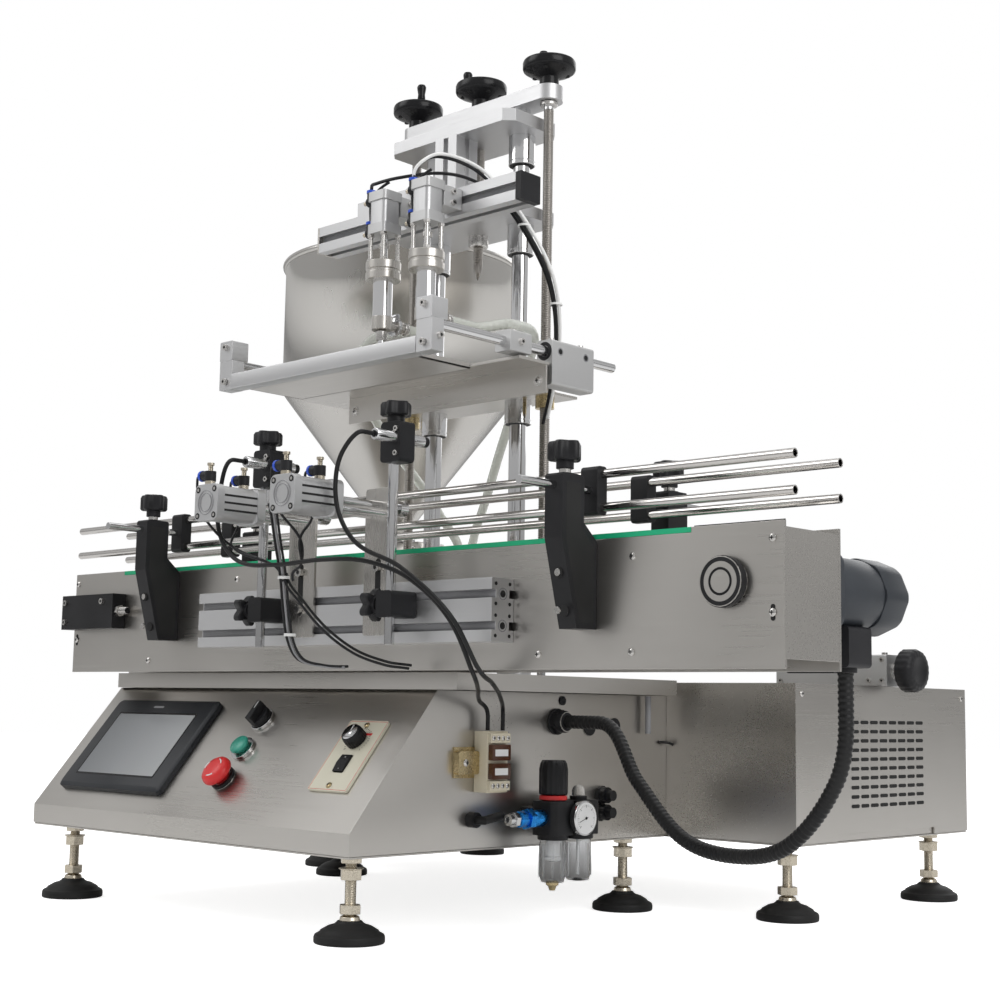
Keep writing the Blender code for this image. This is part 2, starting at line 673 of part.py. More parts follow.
def operator_panel():
    outline = rounded(SCREEN_LEFT, SCREEN_LEFT + SCREEN_WIDTH, SCREEN_LOW, SCREEN_LOW + SCREEN_HEIGHT, 0.006)
    piece("touch_screen", BLACK, [on_panel(prism("Z", outline, GAP, SCREEN_PROUD))])

    stem = BUTTON_STEM_RADIUS
    head = STOP_BUTTON_RADIUS
    profile = ((stem, -0.008), (stem, 0.009), (head, 0.0115), (head, 0.016), (head * 0.8, 0.021), (0, 0.0225))
    centre = (BUTTON_X, STOP_BUTTON_UP)
    piece("e_stop_button", RED, [on_panel(lathe("Z", centre, profile, 16))], (), panel_point(*centre, 0.0))

    centre = (BUTTON_X, START_BUTTON_UP)
    head = START_BUTTON_RADIUS
    profile = ((stem, -0.008), (stem, 0.0078), (head, 0.0082), (head, 0.0115), (0, 0.013))
    piece("start_button", GREEN, [on_panel(lathe("Z", centre, profile, 16))], (), panel_point(*centre, 0.0))

    centre = (BUTTON_X, SELECTOR_UP)
    profile = ((stem, -0.008), (stem, 0.0045), (SELECTOR_RADIUS, 0.0055), (SELECTOR_RADIUS, 0.010), (0.011, 0.0115))
    handle = rounded(BUTTON_X - 0.004, BUTTON_X + 0.004, SELECTOR_UP - 0.012, SELECTOR_UP + 0.012, 0.003)
    shapes = [on_panel(lathe("Z", centre, profile, 16)), on_panel(prism("Z", handle, 0.008, 0.021))]
    piece("selector_knob", BLACK, shapes, (), panel_point(*centre, 0.0))

    left = SPEED_PANEL_LEFT
    middle = left + SPEED_PANEL_WIDTH / 2
    outline = rounded(left, left + SPEED_PANEL_WIDTH, SPEED_PANEL_LOW, SPEED_PANEL_LOW + SPEED_PANEL_LENGTH, 0.003)
    knob = (middle, SPEED_KNOB_UP)
    cuts = [
        on_panel(rod("Z", knob, SPEED_SHAFT_RADIUS + RUNNING, -0.001, 0.006, 12)),
        on_panel(prism("Z", rounded(*rocker_pocket(), 0.001, 1), -0.001, 0.006)),
    ]
    piece("speed_panel", CREAM, [on_panel(prism("Z", outline, GAP, 0.003))], cuts)
    radius = SPEED_KNOB_RADIUS
    profile = ((SPEED_SHAFT_RADIUS, -0.010), (SPEED_SHAFT_RADIUS, 0.004), (radius, 0.0042), (radius * 0.88, 0.017))
    pointer = box(middle - 0.001, middle + 0.001, SPEED_KNOB_UP, SPEED_KNOB_UP + radius, 0.012, 0.0175)
    shapes = [on_panel(lathe("Z", knob, profile, 20)), on_panel(pointer)]
    piece("speed_knob", BLACK, shapes, (), panel_point(*knob, 0.0))

    pocket = rocker_pocket()
    side = (
        (pocket[2] + 0.0009, 0.0045),
        (pocket[2] + 0.0030, -0.006),
        (pocket[3] - 0.0030, -0.006),
        (pocket[3] - 0.0009, 0.0045),
        (ROCKER_UP, 0.0058),
    )
    rocker = on_panel(prism("X", side, pocket[0] + RUNNING, pocket[1] - RUNNING))
    piece("power_rocker", BLACK, [rocker], (), panel_point(middle, ROCKER_UP, 0.0))


# ---------------------------------------------------------------- conveyor
def side_plate(name, side):
    """One side plate; side is -1 in front and +1 behind."""
    inner, outer = sorted((side * PLATE_INSIDE, side * CONVEYOR_HALF_WIDTH))
    shapes = [box(-CONVEYOR_HALF, CONVEYOR_HALF, inner, outer, CONVEYOR_LOW, CONVEYOR_TOP)]
    step = CONVEYOR_TOP - STRIP_HEIGHT
    cuts = [box(STRIP_LEFT - GAP, STRIP_RIGHT + GAP, inner - 0.01, outer + 0.01, step, CONVEYOR_TOP + 0.01)]
    if side < 0:
        face = -CONVEYOR_HALF_WIDTH
        shapes.append(rod("Y", (SHAFT_X, SHAFT_Z), 0.0215, face - 0.009, face + 0.001, 24))
        # The front plate is bent round both ends, low enough for bottles to pass on to the chain.
        for start in (-CONVEYOR_HALF, CONVEYOR_HALF - SHEET):
            cover_low = CONVEYOR_LOW + END_COVER_RISE
            cover = box(start, start + SHEET, inner, PLATE_INSIDE - GAP, cover_low, CHAIN_TOP - END_COVER_DROP)
            shapes.append(cover)
    for x in (-SHAFT_X, SHAFT_X):
        start = -CONVEYOR_HALF_WIDTH - 0.0065 if side < 0 else side * PLATE_INSIDE - 0.01
        cuts.append(rod("Y", (x, SHAFT_Z), AXLE_RADIUS + HUB_BORE_GAP, start, side * PLATE_INSIDE + 0.01, 20))
    piece(name, STEEL, shapes, cuts)


def roller(name, x, front, back):
    radius = ROLLER_RADIUS
    half = CHAIN_HALF_WIDTH - 0.002
    axle = AXLE_RADIUS
    profile = ((axle, front), (axle, -half), (radius, -half), (radius, half), (axle, half), (axle, back))
    piece(name, STEEL, [lathe("Y", (x, SHAFT_Z), profile, 20)], (), (x, 0, SHAFT_Z))


def stadium(radius, sides=10):
    points = []
    for x, turn in ((SHAFT_X, -pi / 2), (-SHAFT_X, pi / 2)):
        for i in range(sides + 1):
            angle = turn + pi * i / sides
            points.append((x + radius * cos(angle), SHAFT_Z + radius * sin(angle)))
    return points


def conveyor():
    side_plate("conveyor_front_plate", -1)
    side_plate("conveyor_back_plate", 1)
    wide = CONVEYOR_HALF_WIDTH
    ledge = CONVEYOR_TOP - STRIP_HEIGHT + GAP
    wall = BED_WALL_INSIDE
    inside = PLATE_INSIDE - GAP
    half = [(wide, ledge), (wide, CONVEYOR_TOP), (wall, CONVEYOR_TOP), (wall, BED_TOP)]
    outline = half + [(-y, z) for y, z in reversed(half)]
    outline += [(-inside, ledge), (-inside, BED_LOW), (inside, BED_LOW), (inside, ledge)]
    piece("conveyor_bed", GREEN, [prism("X", outline, STRIP_LEFT, STRIP_RIGHT)])
    outer = prism("Y", stadium(CHAIN_OUTER), -CHAIN_HALF_WIDTH, CHAIN_HALF_WIDTH)
    inner = prism("Y", stadium(CHAIN_OUTER - CHAIN_THICKNESS), -0.1, 0.1)
    piece("slat_chain", STEEL, [outer], [inner])
    front = -CONVEYOR_HALF_WIDTH - 0.006
    motor_front = CONVEYOR_HALF_WIDTH + GAP
    roller("drive_roller", SHAFT_X, front, motor_front + 0.020)
    roller("idler_roller", -SHAFT_X, front, CONVEYOR_HALF_WIDTH - 0.0005)
    block_front = -CONVEYOR_HALF_WIDTH - 0.0185
    shapes = [box(-0.532, -0.420, block_front, -CONVEYOR_HALF_WIDTH - GAP, SHAFT_Z - 0.021, SHAFT_Z + 0.021)]
    bore = rod("Y", (-SHAFT_X, SHAFT_Z), AXLE_RADIUS + HUB_BORE_GAP, -CONVEYOR_HALF_WIDTH - 0.007, -0.03, 20)
    shapes.append(rod("X", (-CONVEYOR_HALF_WIDTH - 0.010, SHAFT_Z), 0.004, -0.422, -0.400, 10))
    piece("take_up_block", STEEL, shapes, [bore])

    half = GEARHEAD_SIZE / 2
    flange = rounded(SHAFT_X - half, SHAFT_X + half, SHAFT_Z - half, SHAFT_Z + half, 0.008)
    gear_back = motor_front + GEARHEAD_LENGTH
    motor_back = gear_back + MOTOR_LENGTH
    radius = MOTOR_RADIUS
    fan = ((radius, motor_back - 0.001), (radius, motor_back + 0.028), (radius - 0.008, motor_back + FAN_COVER_LENGTH))
    shapes = [
        prism("Y", flange, motor_front, gear_back),
        rod("Y", (SHAFT_X, SHAFT_Z), radius - 0.002, gear_back - 0.001, motor_back, 24),
        lathe("Y", (SHAFT_X, SHAFT_Z), fan, 24),
        box(SHAFT_X - 0.012, SHAFT_X + 0.033, 0.108, 0.150, CONDUIT_START[2] + GAP, SHAFT_Z - 0.020),
    ]
    bore = rod("Y", (SHAFT_X, SHAFT_Z), AXLE_RADIUS + HUB_BORE_GAP, motor_front - 0.01, motor_front + 0.021, 20)
    piece("drive_motor", SLATE, shapes, [bore])
    stops = (CONDUIT_START, *CONDUIT_STOPS, CONDUIT_GLAND)
    cord("motor_conduit", BLACK, CONDUIT_DIAMETER, stops, (0, 0, -1), (-1, 0, 0))


# ---------------------------------------------------------------- guide rails
def guide_bracket(name, x, side):
    foot = CONVEYOR_HALF_WIDTH + GAP
    outline = [
        (foot, 0.304),
        (foot + 0.027, 0.304),
        (POST_BACK + POST_DEPTH, 0.384),
        (POST_BACK + POST_DEPTH, POST_TOP),
        (POST_BACK, POST_TOP),
        (POST_BACK, 0.400),
        (foot, 0.384),
    ]
    outline = [(side * y, z) for y, z in outline]
    shapes = [prism("X", outline, x - BRACKET_WIDTH / 2, x + BRACKET_WIDTH / 2)]
    middle = side * (POST_BACK + POST_DEPTH / 2)
    cuts = [
        rod("Y", (x, CROSS_ROD_Z), CROSS_ROD_RADIUS + RUNNING, -0.2 if side < 0 else 0.0, 0.0 if side < 0 else 0.2, 14),
        rod("Z", (x, middle), 0.003 + RUNNING, CROSS_ROD_Z + 0.004, POST_TOP + 0.01, 12),
    ]
    piece(name, BLACK, shapes, cuts)


def clamp_knob(name, x, side):
    y = side * (POST_BACK + POST_DEPTH / 2)
    low = CROSS_ROD_Z + CROSS_ROD_RADIUS + GAP
    head = POST_TOP + 0.004
    profile = ((0.003, low), (0.003, POST_TOP + GAP), (0.008, POST_TOP + GAP), (0.008, head + 0.010))
    shapes = [lathe("Z", (x, y), profile, 16)]
    lobes = []
    for i in range(30):
        angle = tau * i / 30
        reach = KNOB_RADIUS * (0.88 + 0.12 * cos(5 * angle))
        lobes.append((x + reach * cos(angle), y + reach * sin(angle)))
    shapes.append(prism("Z", lobes, head + 0.006, head + 0.028))
    piece(name, BLACK, shapes, (), (x, y, head))


def rail_set(name, side):
    shapes = []
    for x in (-BRACKET_X, BRACKET_X):
        front, back = sorted((side * (RAIL_Y - 0.0055), side * (RAIL_Y + 0.0085)))
        shapes.append(box(x - 0.010, x + 0.010, front, back, RAIL_LOW - 0.007, RAIL_HIGH + 0.007))
        start, end = sorted((side * RAIL_Y, side * CROSS_ROD_REACH))
        shapes.append(rod("Y", (x, CROSS_ROD_Z), CROSS_ROD_RADIUS, start, end, 12))
    for z in (RAIL_LOW, RAIL_HIGH):
        shapes.append(rod("X", (side * RAIL_Y, z), RAIL_RADIUS, -RAIL_HALF, RAIL_HALF, 14))
    piece(name, STEEL, shapes, (), (0, side * RAIL_Y, CROSS_ROD_Z))


def guide_rails():
    for side, where in ((-1, "front"), (1, "back")):
        for x, hand in ((-BRACKET_X, "left"), (BRACKET_X, "right")):
            guide_bracket(f"guide_bracket_{where}_{hand}", x, side)
            clamp_knob(f"clamp_knob_{where}_{hand}", x, side)
        rail_set(f"rail_set_{where}", side)


# ---------------------------------------------------------------- bottle stops and sensors
def slotted(left, right, low, high, slots, depth, front):
    """An aluminium profile's outline in (Y, Z), with slots in its front and back faces."""
    outline = [(left, low), (right, low)]
    for z in slots:
        outline += [(right, z - 0.004), (right - depth, z - 0.004), (right - depth, z + 0.004), (right, z + 0.004)]
    outline += [(right, high), (left, high)]
    for z in reversed(slots):
        outline += [(left, z + 0.004), (left + depth, z + 0.004), (left + depth, z - 0.004), (left, z - 0.004)]
    return outline


def stops_and_sensors():
    low = STOP_RAIL_LOW
    slots = (low + STOP_RAIL_HEIGHT / 4, low + STOP_RAIL_HEIGHT * 3 / 4)
    outline = slotted(STOP_RAIL_FRONT, STOP_RAIL_BACK, low, low + STOP_RAIL_HEIGHT, slots, 0.006, True)
    piece("stop_rail", ALUMINIUM, [prism("X", outline, -STOP_RAIL_HALF, STOP_RAIL_HALF)])
    for index, x in enumerate(STOP_X):
        half = STOP_BODY / 2
        body_low = STOP_AXIS_Z - half
        plate_half = STOP_PLATE_WIDTH / 2
        plate = (
            x - plate_half,
            x + plate_half,
            STOP_PLATE_BACK - 0.003,
            STOP_PLATE_BACK,
            STOP_RAIL_LOW + 0.008,
            STOP_AXIS_Z + 0.015,
        )
        shapes = [
            box(*plate),
            box(x - half, x + half, STOP_BODY_FRONT, STOP_BODY_BACK, body_low, body_low + STOP_BODY),
        ]
        for offset in (-0.012, 0.012):
            centre = (x + offset, STOP_AXIS_Z - 0.009)
            shapes.append(rod("Y", centre, 0.003, STOP_BODY_BACK - 0.002, STOP_PLATE_BACK - 0.001, 12))
        bore = STOP_ROD_RADIUS + RUNNING
        cuts = [
            rod("Y", (x, STOP_AXIS_Z), bore, STOP_BODY_FRONT + 0.010, STOP_PLATE_BACK + 0.01, 16),
            prism("Y", rounded(x - 0.004, x + 0.004, low + 0.030, low + 0.085, 0.0035), -0.085, -0.070),
        ]
        piece(f"stop_cylinder_{index + 1}", ALUMINIUM, shapes, cuts)
        tip = STOP_TIP_BACK
        profile = (
            (STOP_ROD_RADIUS, STOP_BODY_FRONT + 0.012),
            (STOP_ROD_RADIUS, tip - 0.010),
            (STOP_TIP_RADIUS, tip - 0.010),
            (STOP_TIP_RADIUS, tip),
        )
        piece(f"stop_rod_{index + 1}", CHROME, [lathe("Y", (x, STOP_AXIS_Z), profile, 16)], (), (x, tip, STOP_AXIS_Z))
    for index, x in enumerate(SENSOR_POST_X):
        y = SENSOR_POST_Y
        low, high = SENSOR_CLAMP_Z[index], SENSOR_CLAMP_Z[index] + 0.040
        barrel = (x + 0.010, (low + high) / 2 + 0.004)
        shapes = [
            rod("Z", (x, y), SENSOR_POST_RADIUS, 0.292, high - 0.002, 12),
            box(x - 0.011, x + 0.011, y - 0.009, STOP_PLATE_BACK, 0.318, 0.344),
            box(x - 0.009, x + 0.019, y - 0.010, y + 0.010, low, high),
            rod("Y", barrel, 0.006, y - 0.036, y + 0.034, 14),
            rod("Z", (x + 0.002, y), 0.009, high - 0.001, high + 0.022, 14),
            rod("X", (y, 0.331), 0.009, x - 0.026, x - 0.010, 14),
        ]
        piece(f"sensor_post_{index + 1}", BLACK, shapes)
    for index, stops in enumerate((SENSOR_CABLE_1, SENSOR_CABLE_2)):
        cord(f"sensor_cable_{index + 1}", BLACK, SENSOR_CABLE_DIAMETER, stops, (0, -1, 0), (0, 0, -1))


# ---------------------------------------------------------------- lift unit
def lift():
    x = LIFT_X
    y = LIFT_Y
    half = SCREW_HALF + 0.016
    bar = rounded(x - half, x + half, y - TOP_BAR_HALF_DEPTH, y + TOP_BAR_HALF_DEPTH, TOP_BAR_HALF_DEPTH - 0.001, 5)
    shapes = [prism("Z", bar, TOP_BAR_LOW, TOP_BAR_TOP)]
    foot_low = TOP_PLATE_TOP + GAP
    for column in COLUMN_X:
        profile = ((0.020, foot_low), (0.020, foot_low + 0.012), (COLUMN_RADIUS, foot_low + 0.012), (COLUMN_RADIUS, TOP_BAR_LOW + 0.004))
        shapes.append(lathe("Z", (column, y), profile, 16))
    cuts = [rod("Z", (at, y), SCREW_BORE, TOP_BAR_LOW - 0.01, TOP_BAR_TOP + 0.01, 16) for at in SCREW_X]
    piece("lift_frame", CHROME, shapes, cuts)
    lows = (foot_low, CENTRE_SCREW_LOW, foot_low)
    for at, low, turn, hand in zip(SCREW_X, lows, CRANK_TURN, ("left", "centre", "right")):
        hub_low = TOP_BAR_TOP + GAP
        wheel_low = WHEEL_HEIGHT - 0.014
        collar = (0.0105, TOP_BAR_LOW - 0.005), (0.0105, TOP_BAR_LOW - GAP)
        profile = (
            (SCREW_RADIUS, low),
            (SCREW_RADIUS, collar[0][1]),
            *collar,
            (SCREW_RADIUS, collar[1][1]),
            (SCREW_RADIUS, hub_low),
            (0.010, hub_low),
            (0.010, wheel_low),
            (WHEEL_RADIUS - 0.003, wheel_low),
            (WHEEL_RADIUS, wheel_low + 0.005),
            (WHEEL_RADIUS, wheel_low + 0.022),
            (WHEEL_RADIUS - 0.004, wheel_low + 0.027),
            (WHEEL_RADIUS - 0.009, wheel_low + 0.020),
            (0.010, wheel_low + 0.018),
            (0.009, wheel_low + 0.026),
        )
        reach = WHEEL_RADIUS - 0.010
        grip = (at + reach * cos(radians(turn)), y + reach * sin(radians(turn)))
        handle = (
            (0.003, wheel_low + 0.018),
            (0.003, wheel_low + 0.028),
            (0.006, wheel_low + 0.030),
            (0.0055, CRANK_TOP),
        )
        shapes = [lathe("Z", (at, y), profile, 16), lathe("Z", grip, handle, 8)]
        piece(f"lead_screw_{hand}", CHROME, shapes, (), (at, y, WHEEL_HEIGHT))


def chamfered(left, right, front, back, corner):
    return (
        (left + corner, front),
        (right - corner, front),
        (right, front + corner),
        (right, back - corner),
        (right - corner, back),
        (left + corner, back),
        (left, back - corner),
        (left, front + corner),
    )


def head_carriage():
    x = LIFT_X
    y = LIFT_Y
    plate = chamfered(x - CARRIAGE_HALF, x + CARRIAGE_HALF, CARRIAGE_FRONT, CARRIAGE_BACK, CARRIAGE_CHAMFER)
    lower = chamfered(x - CARRIAGE_HALF, x + CARRIAGE_HALF, BEAM_BACK + 0.010, CARRIAGE_BACK, CARRIAGE_CHAMFER)
    post = POST_SIZE / 2
    shapes = [
        prism("Z", plate, UPPER_PLATE_LOW, UPPER_PLATE_TOP),
        prism("Z", lower, MID_PLATE_LOW, MID_PLATE_TOP),
        box(x - post, x + post, POST_FRONT, POST_FRONT + POST_SIZE, MID_PLATE_TOP - 0.002, UPPER_PLATE_LOW + 0.002),
        box(x - 0.045, x + 0.045, BEAM_FRONT + 0.004, BEAM_BACK + 0.020, BEAM_TOP + GAP, MID_PLATE_TOP - 0.001),
    ]
    cuts = [rod("Z", (x, y), SCREW_BORE, MID_PLATE_LOW - 0.02, UPPER_PLATE_TOP + 0.01, 16)]
    for column in COLUMN_X:
        for top in (UPPER_PLATE_LOW, MID_PLATE_LOW):
            shapes.append(rod("Z", (column, y), BUSHING_RADIUS, top - BUSHING_DROP, top + 0.002, 16))
        cuts.append(rod("Z", (column, y), COLUMN_BORE, MID_PLATE_LOW - 0.06, UPPER_PLATE_TOP + 0.01, 16))
    piece("head_carriage", STEEL, shapes, cuts, (x, y, MID_PLATE_LOW))

    slot = 0.004
    middle = (BEAM_LOW + BEAM_TOP) / 2
    centre = (BEAM_FRONT + BEAM_BACK) / 2
    outline = (
        (BEAM_FRONT, BEAM_LOW),
        (centre - slot, BEAM_LOW),
        (centre - slot, BEAM_LOW + 0.006),
        (centre + slot, BEAM_LOW + 0.006),
        (centre + slot, BEAM_LOW),
        (BEAM_BACK, BEAM_LOW),
        (BEAM_BACK, BEAM_TOP),
        (BEAM_FRONT, BEAM_TOP),
        (BEAM_FRONT, middle + slot),
        (BEAM_FRONT + 0.006, middle + slot),
        (BEAM_FRONT + 0.006, middle - slot),
        (BEAM_FRONT, middle - slot),
    )
    piece("head_beam", ALUMINIUM, [prism("X", outline, BEAM_LEFT, BEAM_RIGHT)])


# ---------------------------------------------------------------- dosing heads
def dosing_heads():
    for index, x in enumerate(HEAD_X):
        half = AIR_BODY / 2
        shapes = [
            box(x - half, x + half, -half, half, AIR_LOW, AIR_TOP),
            box(x - 0.012, x + 0.012, half - 0.002, BEAM_FRONT - GAP, BEAM_LOW + 0.004, BEAM_TOP - 0.004),
            rod("Z", (x, 0), FLANGE_RADIUS, FLANGE_LOW, FLANGE_TOP, 20),
            rod("Z", (x, 0), BARREL_RADIUS + 0.0005, BARREL_CAP_LOW, FLANGE_LOW + 0.002, 16),
            rod("Z", (x, 0), NOZZLE_RADIUS, NOZZLE_LOW, BARREL_CAP_LOW + 0.002, 16),
            rod("Y", (x, INLET_Z), 0.006, BARREL_RADIUS - 0.002, INLET_BACK, 16),
            box(x - half - 0.007, x - half + 0.002, -0.006, 0.006, AIR_LOW + 0.006, AIR_LOW + 0.018),
        ]
        for a in (-1, 1):
            for b in (-1, 1):
                centre = (x + a * 0.0105, b * 0.0105)
                shapes.append(rod("Z", centre, TIE_ROD_RADIUS, FLANGE_TOP - 0.0025, AIR_LOW + 0.003, 8))
        guide = PISTON_ROD_RADIUS + RUNNING
        cuts = [
            rod("Z", (x, 0), AIR_BORE, AIR_LOW + AIR_END_WALL, AIR_TOP - AIR_END_WALL, 16),
            rod("Z", (x, 0), guide, FLANGE_TOP - 0.018, AIR_LOW + AIR_END_WALL + 0.001, 16),
            rod("Z", (x, 0), BARREL_BORE, BARREL_FLOOR, FLANGE_TOP - 0.017, 16),
            rod("Z", (x, 0), NOZZLE_BORE, NOZZLE_LOW - 0.01, BARREL_FLOOR + 0.001, 10),
            rod("Y", (x, INLET_Z), INLET_BORE, -0.0005, INLET_BACK + 0.01, 14),
        ]
        piece(f"dosing_head_{index + 1}", STEEL, shapes, cuts)
        low = BARREL_FLOOR + 0.002
        air = AIR_LOW + AIR_END_WALL + 0.001
        profile = (
            (BARREL_BORE - RUNNING, low),
            (BARREL_BORE - RUNNING, low + PISTON_THICKNESS),
            (PISTON_ROD_RADIUS, low + PISTON_THICKNESS),
            (PISTON_ROD_RADIUS, air),
            (AIR_BORE - RUNNING, air),
            (AIR_BORE - RUNNING, air + 0.006),
        )
        piece(f"piston_rod_{index + 1}", CHROME, [lathe("Z", (x, 0), profile, 16)], (), (x, 0, low))
    for index, stops in enumerate((PRODUCT_HOSE_1, PRODUCT_HOSE_2)):
        cord(f"product_hose_{index + 1}", CLEAR, HOSE_DIAMETER, stops, (1, 0, 0), (0, -1, 0))


# ---------------------------------------------------------------- drip tray on its carriage
def drip_tray():
    low = TRAY_SHEET_LOW
    inner = TRAY_SHAFT_X[1] - TRAY_GUIDE_WIDTH / 2 + 0.001
    step = TRAY_GUIDE_FRONT - 0.002
    sheet = (
        (TRAY_SHEET_LEFT + 0.012, TRAY_SHEET_FRONT),
        (TRAY_SHEET_RIGHT - 0.012, TRAY_SHEET_FRONT),
        (TRAY_SHEET_RIGHT - 0.0035, TRAY_SHEET_FRONT + 0.0035),
        (TRAY_SHEET_RIGHT, TRAY_SHEET_FRONT + 0.012),
        (TRAY_SHEET_RIGHT, step),
        (inner, step),
        (inner, TRAY_GUIDE_BACK),
        (TRAY_SHEET_TAIL + 0.010, TRAY_GUIDE_BACK + 0.010),
        (TRAY_SHEET_TAIL, TRAY_GUIDE_BACK + 0.020),
        (TRAY_SHEET_TAIL, TRAY_SHEET_BACK),
        (TRAY_SHEET_LEFT + 0.012, TRAY_SHEET_BACK),
        (TRAY_SHEET_LEFT, TRAY_SHEET_BACK - 0.012),
        (TRAY_SHEET_LEFT, TRAY_SHEET_FRONT + 0.012),
    )
    shapes = [
        prism("Z", sheet, low, TRAY_SHEET_TOP),
        box(TRAY_FLANGE_LEFT, TRAY_SHEET_RIGHT, TRAY_FLANGE_Y, TRAY_FLANGE_Y + TRAY_SHEET, low - TRAY_FLANGE_HEIGHT, low + 0.001),
    ]
    cuts = []
    for x in COLUMN_X:
        shapes.append(rod("Z", (x, LIFT_Y), BUSHING_RADIUS, low - TRAY_BUSHING_DROP, low + 0.001, 16))
        cuts.append(rod("Z", (x, LIFT_Y), COLUMN_BORE, low - 0.05, low + 0.05, 16))
    for x in (SCREW_X[0], SCREW_X[2]):
        shapes.append(rod("Z", (x, LIFT_Y), 0.011, low - 0.014, low + 0.001, 16))
        cuts.append(rod("Z", (x, LIFT_Y), SCREW_BORE, low - 0.05, low + 0.05, 16))
    cuts.append(rod("Z", (LIFT_X, LIFT_Y), 0.012, low - 0.05, low + 0.05, 16))
    for x in TRAY_SHAFT_X:
        half = TRAY_GUIDE_WIDTH / 2
        block_low = low - TRAY_GUIDE_DROP if x > LIFT_X else TRAY_SHEET_TOP - 0.001
        shapes.append(box(x - half, x + half, TRAY_GUIDE_FRONT, TRAY_GUIDE_BACK, block_low, TRAY_SHAFT_Z + 0.012))
        bore = TRAY_SHAFT_RADIUS + RUNNING
        cuts.append(rod("Y", (x, TRAY_SHAFT_Z), bore, TRAY_GUIDE_FRONT - 0.01, TRAY_GUIDE_BACK + 0.01, 16))
    piece("tray_carriage", STEEL, shapes, cuts, (LIFT_X, LIFT_Y, low))

    left, right = TRAY_SHAFT_X
    block = TRAY_BLOCK_SIZE / 2
    bar = (TRAY_BAR_FRONT, TRAY_BAR_FRONT + TRAY_BAR_SIZE, TRAY_BAR_LOW, TRAY_BAR_LOW + TRAY_BAR_SIZE)
    inner_left = left + 0.024
    inner_right = right - 0.024
    shapes = [
        box(left, right, *bar),
        box(inner_left, inner_right, bar[1] - 0.002, TRAY_PLATE_BACK, TRAY_BAR_LOW, TRAY_BAR_LOW + 0.002),
    ]
    rim_top = TRAY_BAR_LOW + TRAY_RIM
    for start, end in ((inner_left, inner_left + 0.002), (inner_right - 0.002, inner_right)):
        shapes.append(box(start, end, bar[1] - 0.002, TRAY_PLATE_BACK, TRAY_BAR_LOW, rim_top))
    shapes.append(box(inner_left, inner_right, TRAY_PLATE_BACK - 0.002, TRAY_PLATE_BACK, TRAY_BAR_LOW, rim_top))
    for x in TRAY_SHAFT_X:
        shapes += [
            box(x - block, x + block, bar[0], bar[0] + TRAY_BLOCK_SIZE, TRAY_BAR_LOW, TRAY_SHAFT_Z + 0.0245),
            rod("Y", (x, TRAY_SHAFT_Z), TRAY_SHAFT_RADIUS, bar[0] + 0.010, TRAY_SHAFT_BACK, 16),
            box(x - block, x + block, TRAY_STOP_FRONT, TRAY_STOP_BACK, TRAY_SHEET_TOP + 0.002, TRAY_SHAFT_Z + 0.011),
        ]
    piece("drip_tray_frame", ALUMINIUM, shapes, (), (0, bar[0], TRAY_SHAFT_Z))


# ---------------------------------------------------------------- hopper
def hopper():
    x = HOPPER_X
    y = HOPPER_Y
    radius = HOPPER_RADIUS
    wall = HOPPER_WALL
    outlet = HOPPER_OUTLET_RADIUS
    profile = (
        (outlet, MANIFOLD_TOP - 0.002),
        (outlet, HOPPER_CONE_LOW),
        (radius, HOPPER_WALL_LOW),
        (radius, HOPPER_RIM - RIM_RADIUS),
        (radius + RIM_RADIUS, HOPPER_RIM),
        (radius, HOPPER_RIM + RIM_RADIUS),
        (radius - wall, HOPPER_RIM + RIM_RADIUS),
        (radius - wall, HOPPER_WALL_LOW + 0.0005),
        (outlet - wall, HOPPER_CONE_LOW + 0.0005),
        (outlet - wall, MANIFOLD_TOP - 0.002),
    )
    wide = MANIFOLD_WIDTH / 2
    deep = MANIFOLD_DEPTH / 2
    stand = STAND_SIZE / 2
    foot_low = REAR_TOP + GAP
    left = x - wide + 0.040
    shapes = [
        lathe("Z", (x, y), profile, 36, True),
        box(left, x + wide, y - deep, y + deep, MANIFOLD_LOW, MANIFOLD_TOP),
        box(x - stand, x + stand, y - deep, y + deep, foot_low + 0.005, MANIFOLD_LOW + 0.001),
        box(x - stand - 0.02, x + stand + 0.02, y - deep - 0.012, y + deep + 0.02, foot_low, foot_low + 0.006),
    ]
    cuts = [rod("Z", (x, y), outlet - wall, MANIFOLD_LOW + 0.012, MANIFOLD_TOP + 0.001, 24)]
    for offset in (-0.012, 0.012):
        centre = (y + offset, MANIFOLD_LOW + MANIFOLD_HEIGHT / 2)
        shapes.append(rod("X", centre, 0.0065, x + wide - 0.001, HOSE_START_X - GAP, 16))
        cuts.append(rod("X", centre, 0.004, x, HOSE_START_X + 0.01, 12))
    piece("hopper", STEEL, shapes, cuts)


